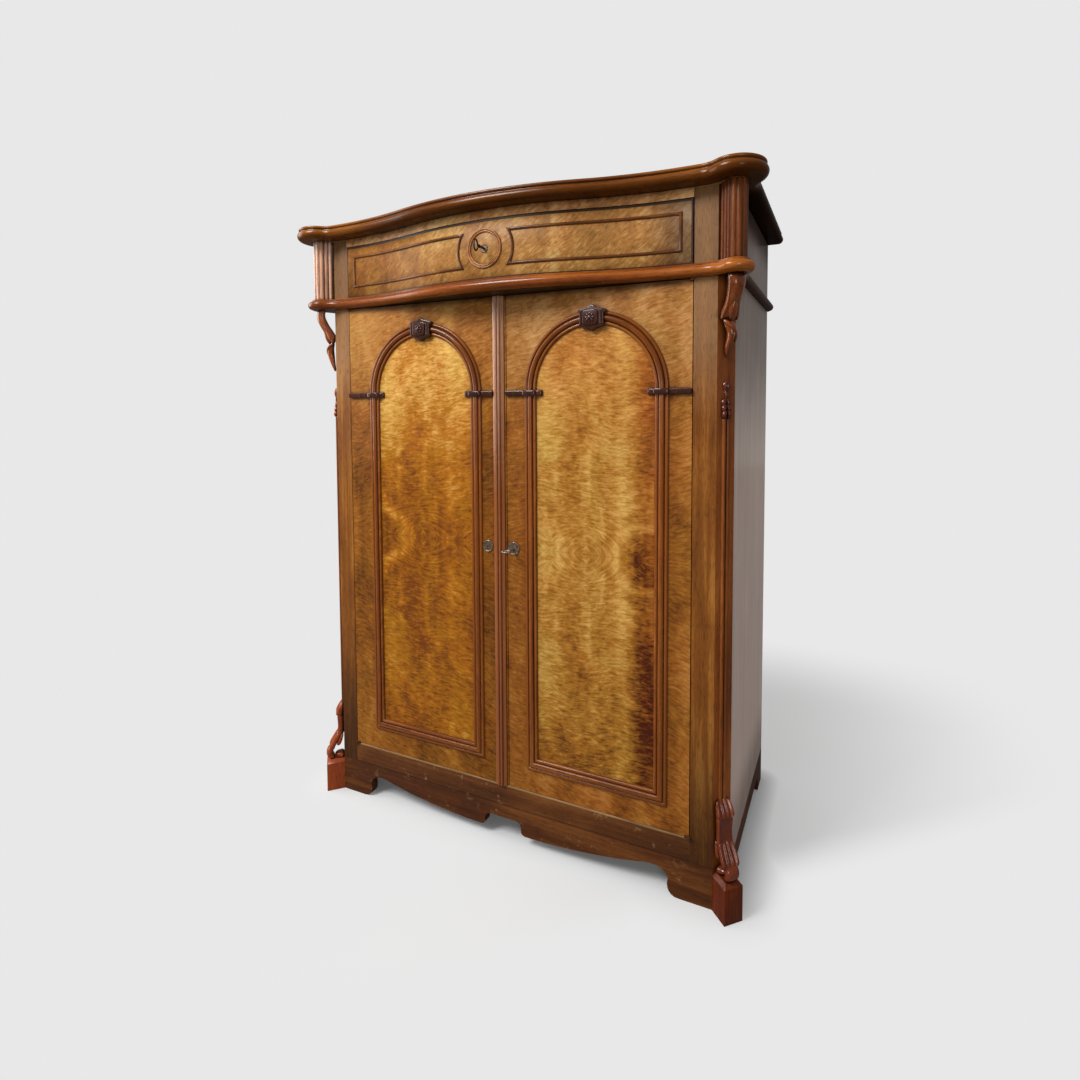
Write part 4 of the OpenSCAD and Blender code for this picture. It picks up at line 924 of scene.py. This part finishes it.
def disc(bm, centre, profile, steps=32):
    """Turned shape on an axis along Y; the profile is (radius, stand) from the rim to the middle."""
    edges = line(bm, [(centre[0] + r, centre[1] - s, centre[2]) for r, s in profile])
    bmesh.ops.spin(bm, geom=list({v for e in edges for v in e.verts}) + edges, cent=centre, axis=(0, 1, 0),
                   angle=math.tau, steps=steps, use_merge=True)
    bmesh.ops.remove_doubles(bm, verts=bm.verts, dist=1e-6)


def keystone_piece(name, cx, body, node):
    """A shaped block with a cushion, reeds down its sides and a rosette of eight petals round a boss."""
    bm = bmesh.new()
    height = ARCH_Z + KEY_RISE
    middle, raised_y, top_y = cx - 0.003, SHIFT - 0.0138, SHIFT - 0.0176
    base = mirror_outline([(0, 0.0345), (0.010, 0.027), (0.030, 0.0225), (0.038, 0.020), (0.039, 0.014),
                           (0.034, 0.009), (0.033, 0), (0.035, -0.018), (0.030, -0.023), (0.012, -0.027),
                           (0, -0.0345)])
    relief(bm, [(cx + x, height + z) for x, z in base], SHIFT, 0.014, 0.0025)
    cushion = mirror_outline([(0, 0.020), (0.018, 0.019), (0.023, 0.013), (0.021, 0), (0.021, -0.014),
                              (0.016, -0.019), (0, -0.020)])
    relief(bm, [(middle + x, height + z) for x, z in cushion], raised_y, 0.004, 0.002)
    for x, w in ((-0.0305, 0.003), (0.0245, 0.0035), (0.0315, 0.0025)):
        reed = [(x + w * math.cos(t), w * math.sin(t)) for t in [math.radians(a) for a in range(0, 181, 20)]]
        prism(bm, [(cx + a, raised_y - b, height - 0.017) for a, b in reed], (0, 0, 0.032))
    for turn in range(8):
        a = math.radians(45 * turn)
        leaf = ((0.004, 0), (0.008, 0.0032), (0.0118, 0.002), (0.0128, 0), (0.0118, -0.002), (0.008, -0.0032))
        petal = [(math.cos(a) * d - math.sin(a) * w, math.sin(a) * d + math.cos(a) * w) for d, w in leaf]
        relief(bm, [(middle + x, height - 0.001 + z) for x, z in petal], top_y, 0.0022, 0.001, 2)
    disc(bm, (middle, top_y, height - 0.001),
         [(0.0062, 0), (0.0062, 0.002), (0.0055, 0.0033), (0.004, 0.0042), (0.0022, 0.0047), (0, 0.0049)])
    finish_piece(bm, name, DARK_WOOD, body, [node], smooth=35)


def capital_outline(inner, collar_a, collar_b, end):
    """Plan of a capital from the moulding's inner side to the stile, as (x, stand)."""
    step = 1 if end > inner else -1
    tip = [(inner + step * (0.008 - 0.008 * math.sin(t)), 0.008 * math.cos(t))
           for t in [math.radians(a) for a in (90, 70, 50, 30, 10)]]
    a, b = (collar_a, collar_b) if step > 0 else (collar_b, collar_a)
    swell = [(a - step * 0.003, 0.0085), (a - step * 0.002, 0.0115), (a, 0.0145), (a + step * 0.003, 0.0155),
             (b - step * 0.003, 0.0155), (b, 0.0145), (b + step * 0.002, 0.0115), (b + step * 0.003, 0.0085)]
    return tip + swell + [(end, 0.0085), (end, 0)]


def capital_piece(name, cx, ends, body, node):
    bm = bmesh.new()
    for sign, end in ends:
        edge_in, edge_out = cx + sign * (ARCH_R - MOULD_W), cx + sign * ARCH_R
        plan = capital_outline(edge_in - sign * 0.020, min(edge_in, edge_out), max(edge_in, edge_out), end)
        prism(bm, [(x, SHIFT - s, ARCH_Z - CAPITAL_H) for x, s in plan], (0, 0, CAPITAL_H))
    flat = [e for e in bm.edges if abs(e.verts[0].co.z - e.verts[1].co.z) < 1e-6
            and max(v.co.y for v in e.verts) < SHIFT + 1e-6 and min(v.co.y for v in e.verts) < SHIFT - 0.0005]
    bmesh.ops.bevel(bm, geom=flat, offset=0.0045, offset_type="OFFSET", affect="EDGES", segments=4,
                    profile=0.5, material=-1, clamp_overlap=True)
    finish_piece(bm, name, DARK_WOOD, body, [node], smooth=45)


keystone_piece("carved_keystone_left", ARCH_LEFT, "left_door", "left_keystone")
keystone_piece("carved_keystone_right", ARCH_RIGHT, "right_door", "right_keystone")
# the capitals end at the stiles and at the astragal
OUTER_END, LEFT_INNER_END, RIGHT_INNER_END = 0.5406, -0.0187, 0.0242
capital_piece("turned_capitals_left", ARCH_LEFT, ((-1, -OUTER_END), (1, LEFT_INNER_END)), "left_door",
              "left_capitals")
capital_piece("turned_capitals_right", ARCH_RIGHT, ((-1, RIGHT_INNER_END), (1, OUTER_END)), "right_door",
              "right_capitals")


# Keys: turned shank, collar beads and an oval bow of round iron

# radius of the iron that the bows are bent from
BOW_R = 0.0022


def round_bow(bm, spots, radius, sides):
    """A closed ring of round iron through the spots."""
    loops = []
    for before, spot, after in zip(spots[-1:] + spots[:-1], spots, spots[1:] + spots[:1]):
        ahead = (Vector(after) - Vector(before)).normalized()
        turn = ahead.to_track_quat("Z", "Y").to_matrix()
        loops.append(ring(bm, [Vector(spot) + turn @ Vector((radius * math.cos(t), radius * math.sin(t), 0))
                               for t in [math.tau * k / sides for k in range(sides)]]))
    loft(bm, loops)


def key_piece(name, centre, bow_y, tip_y, bow_a, bow_b, upright, metal, node):
    """A key whose bow has its middle at bow_y and the half-sizes bow_a and bow_b; its bit ends at tip_y."""
    bm = bmesh.new()
    cx, cz = centre
    start = bow_y + bow_b - 0.0025
    turned = [(0, 0), (0.0022, 0), (0.0028, 0.002), (0.0046, 0.005), (0.0046, 0.0065), (0.0033, 0.0078),
              (0.0042, 0.009), (0.0042, 0.0102), (0.003, 0.0115)]
    shank = [(r, start + y) for r, y in turned] + [(0.0029, tip_y - 0.001), (0.0022, tip_y), (0, tip_y)]
    disc(bm, (cx, SHIFT, cz), [(r, -y) for r, y in shank], 24)
    bow = []
    for k in range(28):
        t = math.tau * k / 28
        a, b = (bow_a - BOW_R) * math.cos(t), (bow_b - BOW_R) * math.sin(t)
        bow.append((cx, SHIFT + bow_y + b, cz + a) if upright else (cx + a, SHIFT + bow_y + b, cz))
    round_bow(bm, bow, BOW_R, 10)
    # the bit: two teeth and the web between them, each as far back from the tip, its lower edge and its depth
    for back, low, deep in ((0.0022, 0.0086, 0.0022), (0.0058, 0.0072, 0.0022), (0.0058, 0.0055, 0.0056)):
        plate = [(-0.0011, 0.0025), (0.0011, 0.0025), (0.0011, low), (-0.0011, low)]
        prism(bm, [(cx + x, SHIFT + (tip_y - back), cz - z) for x, z in plate], (0, deep, 0))
    finish_piece(bm, name, metal, node, [node], smooth=40)


key_piece("turned_door_key", (RIGHT_LOCK_X, LOCK_Z), bow_y=-0.0425, tip_y=0.0357, bow_a=0.013, bow_b=0.0125,
          upright=False, metal=KEY_IRON, node="door_key")
key_piece("turned_drawer_key", (0, RING_Z), bow_y=FACE_Y - 0.041, tip_y=FACE_Y + 0.019, bow_a=0.0165,
          bow_b=0.011, upright=True, metal=DARK_IRON, node="drawer_key")

# raised rims on the escutcheons
for name, x, y, z, r, body in (("left_rim", LEFT_LOCK_X, 0, LOCK_Z, LEFT_PLATE_R, "left_door"),
                               ("right_rim", RIGHT_LOCK_X, 0, LOCK_Z, RIGHT_PLATE_R, "right_door"),
                               ("drawer_rim", 0, FACE_Y, RING_Z, DRAWER_PLATE_R, "drawer")):
    turned_ring(name, (x, y + SHIFT, z), [(r, 0), (r, 0.0012), (r - 0.0008, 0.0022), (r - 0.0018, 0.0026),
                                          (r - 0.003, 0.0022), (r - 0.0036, 0.0016), (r - 0.0036, 0.0012)],
                48, IRON, body, ())


# Camera, at the photograph's viewing angle

def set_camera():
    yaw, pitch, roll = 0.4286, 0.0507, -0.0023
    ahead = Vector((-math.sin(yaw) * math.cos(pitch), math.cos(yaw) * math.cos(pitch), -math.sin(pitch)))
    level = Vector((math.cos(yaw), math.sin(yaw), 0))
    up = level.cross(ahead)
    right = math.cos(roll) * level + math.sin(roll) * up
    up = right.cross(ahead)
    data = bpy.data.cameras.new("photo_camera")
    data.sensor_width = 36
    data.lens = 20.536
    data.shift_x = -0.0286
    data.shift_y = -0.0929
    camera = bpy.data.objects.new("photo_camera", data)
    turn = Matrix((right, up, -ahead)).transposed().to_4x4()
    camera.matrix_world = Matrix.Translation((0.8939, -1.4782 + SHIFT, 1.24315)) @ turn
    bpy.context.scene.collection.objects.link(camera)
    bpy.context.scene.camera = camera


set_camera()


# Studio: pale floor that fades into the background, soft lamps

def area_lamp(name, place, aim, size, power, tint):
    data = bpy.data.lights.new(name, "AREA")
    data.shape = "RECTANGLE"
    data.size, data.size_y = size
    data.energy = power
    data.color = linear(tint)[:3]
    lamp = bpy.data.objects.new(name, data)
    lamp.location = place
    lamp.rotation_euler = (Vector(aim) - Vector(place)).to_track_quat("-Z", "Y").to_euler()
    bpy.context.scene.collection.objects.link(lamp)


BACKGROUND = "e8e8e8"
area_lamp("key_lamp", (-1.6, -2.9, 4.0), (0, 0, 1.0), (1.6, 1.6), 205, "ffffff")
area_lamp("window_lamp", (-3.3, -0.9, 2.05), (-0.3, 0, 1.2), (1.7, 2.4), 62, "ffffff")
area_lamp("front_fill", (2.0, -3.1, 1.5), (0, 0, 0.9), (0.7, 0.9), 18, "ffffff")

world = bpy.data.worlds.new("studio")
bpy.context.scene.world = world
world.use_nodes = True
put = partial(add, world.node_tree)
mirrored = put("MapRange", {0: put("LightPath", give="Is Glossy Ray"), 3: 0.56, 4: 0.32})
level = put("Mix", {"Factor": put("LightPath", give="Is Camera Ray"), 2: mirrored, 3: 1.0})
feed(world.node_tree.nodes["Background"], {"Color": linear(BACKGROUND), "Strength": level})

bm = bmesh.new()
bmesh.ops.create_grid(bm, x_segments=1, y_segments=1, size=12)
data = bpy.data.meshes.new("floor")
bm.to_mesh(data)
bm.free()
floor = bpy.data.objects.new("floor", data)
bpy.context.scene.collection.objects.link(floor)
paint, surface, put = blank("Pale studio floor")
in_view = put("LightPath", give="Is Camera Ray")
colour = put("Mix", {"Factor": in_view, 6: linear("7c7c7c"), 7: linear("d4d4d4")}, **COVER)
feed(surface, {"Base Color": colour, "Roughness": 0.9, "Specular IOR Level": 0.1})
# the shadow shows beside and behind the cabinet's right end and close round its foot; further out the floor
# takes the background's colour
place = put("TexCoord", give="Object")
across, back = (put("SeparateXYZ", [place], give=axis) for axis in "XY")
slant = put("Math", (across, -0.9, back), operation="MULTIPLY_ADD")
shown = None
for reach, start, stop, most in ((across, 1.65, 0.5, 0.58), (across, -0.3, 0.4, 1.0), (back, 1.72, 0.95, 1.0),
                                 (slant, -0.80, -0.58, 1.0)):
    part = put("MapRange", (reach, start, stop, 0.0, most), **EASE)
    shown = put("Math", (shown, part), operation="MULTIPLY") if shown else part
# distance from the cabinet's foot
beside = put("Mapping", {"Vector": place, "Location": (0, -0.08, 0)})
beside = put("VectorMath", [beside], operation="ABSOLUTE")
beside = put("VectorMath", (beside, (0.62, 0.28, 0)), operation="SUBTRACT")
beside = put("VectorMath", (beside, (0, 0, 0)), operation="MAXIMUM")
beside = put("VectorMath", [beside], give="Value", operation="LENGTH")
contact = put("MapRange", (beside, 0.17, 0.0, 0.0, 0.95), **EASE)
shown = put("Math", (shown, contact), operation="MAXIMUM")
fade = put("Math", (put("Math", (1.0, shown), operation="SUBTRACT"), in_view), operation="MULTIPLY")
glow = put("Emission", {"Color": linear(BACKGROUND), "Strength": 1.0})
feed(paint.node_tree.nodes["Material Output"],
     {"Surface": put("MixShader", (fade, surface.outputs[0], glow))})
data.materials.append(paint)

bpy.context.scene.view_settings.view_transform = "Standard"

bpy.context.view_layer.update()
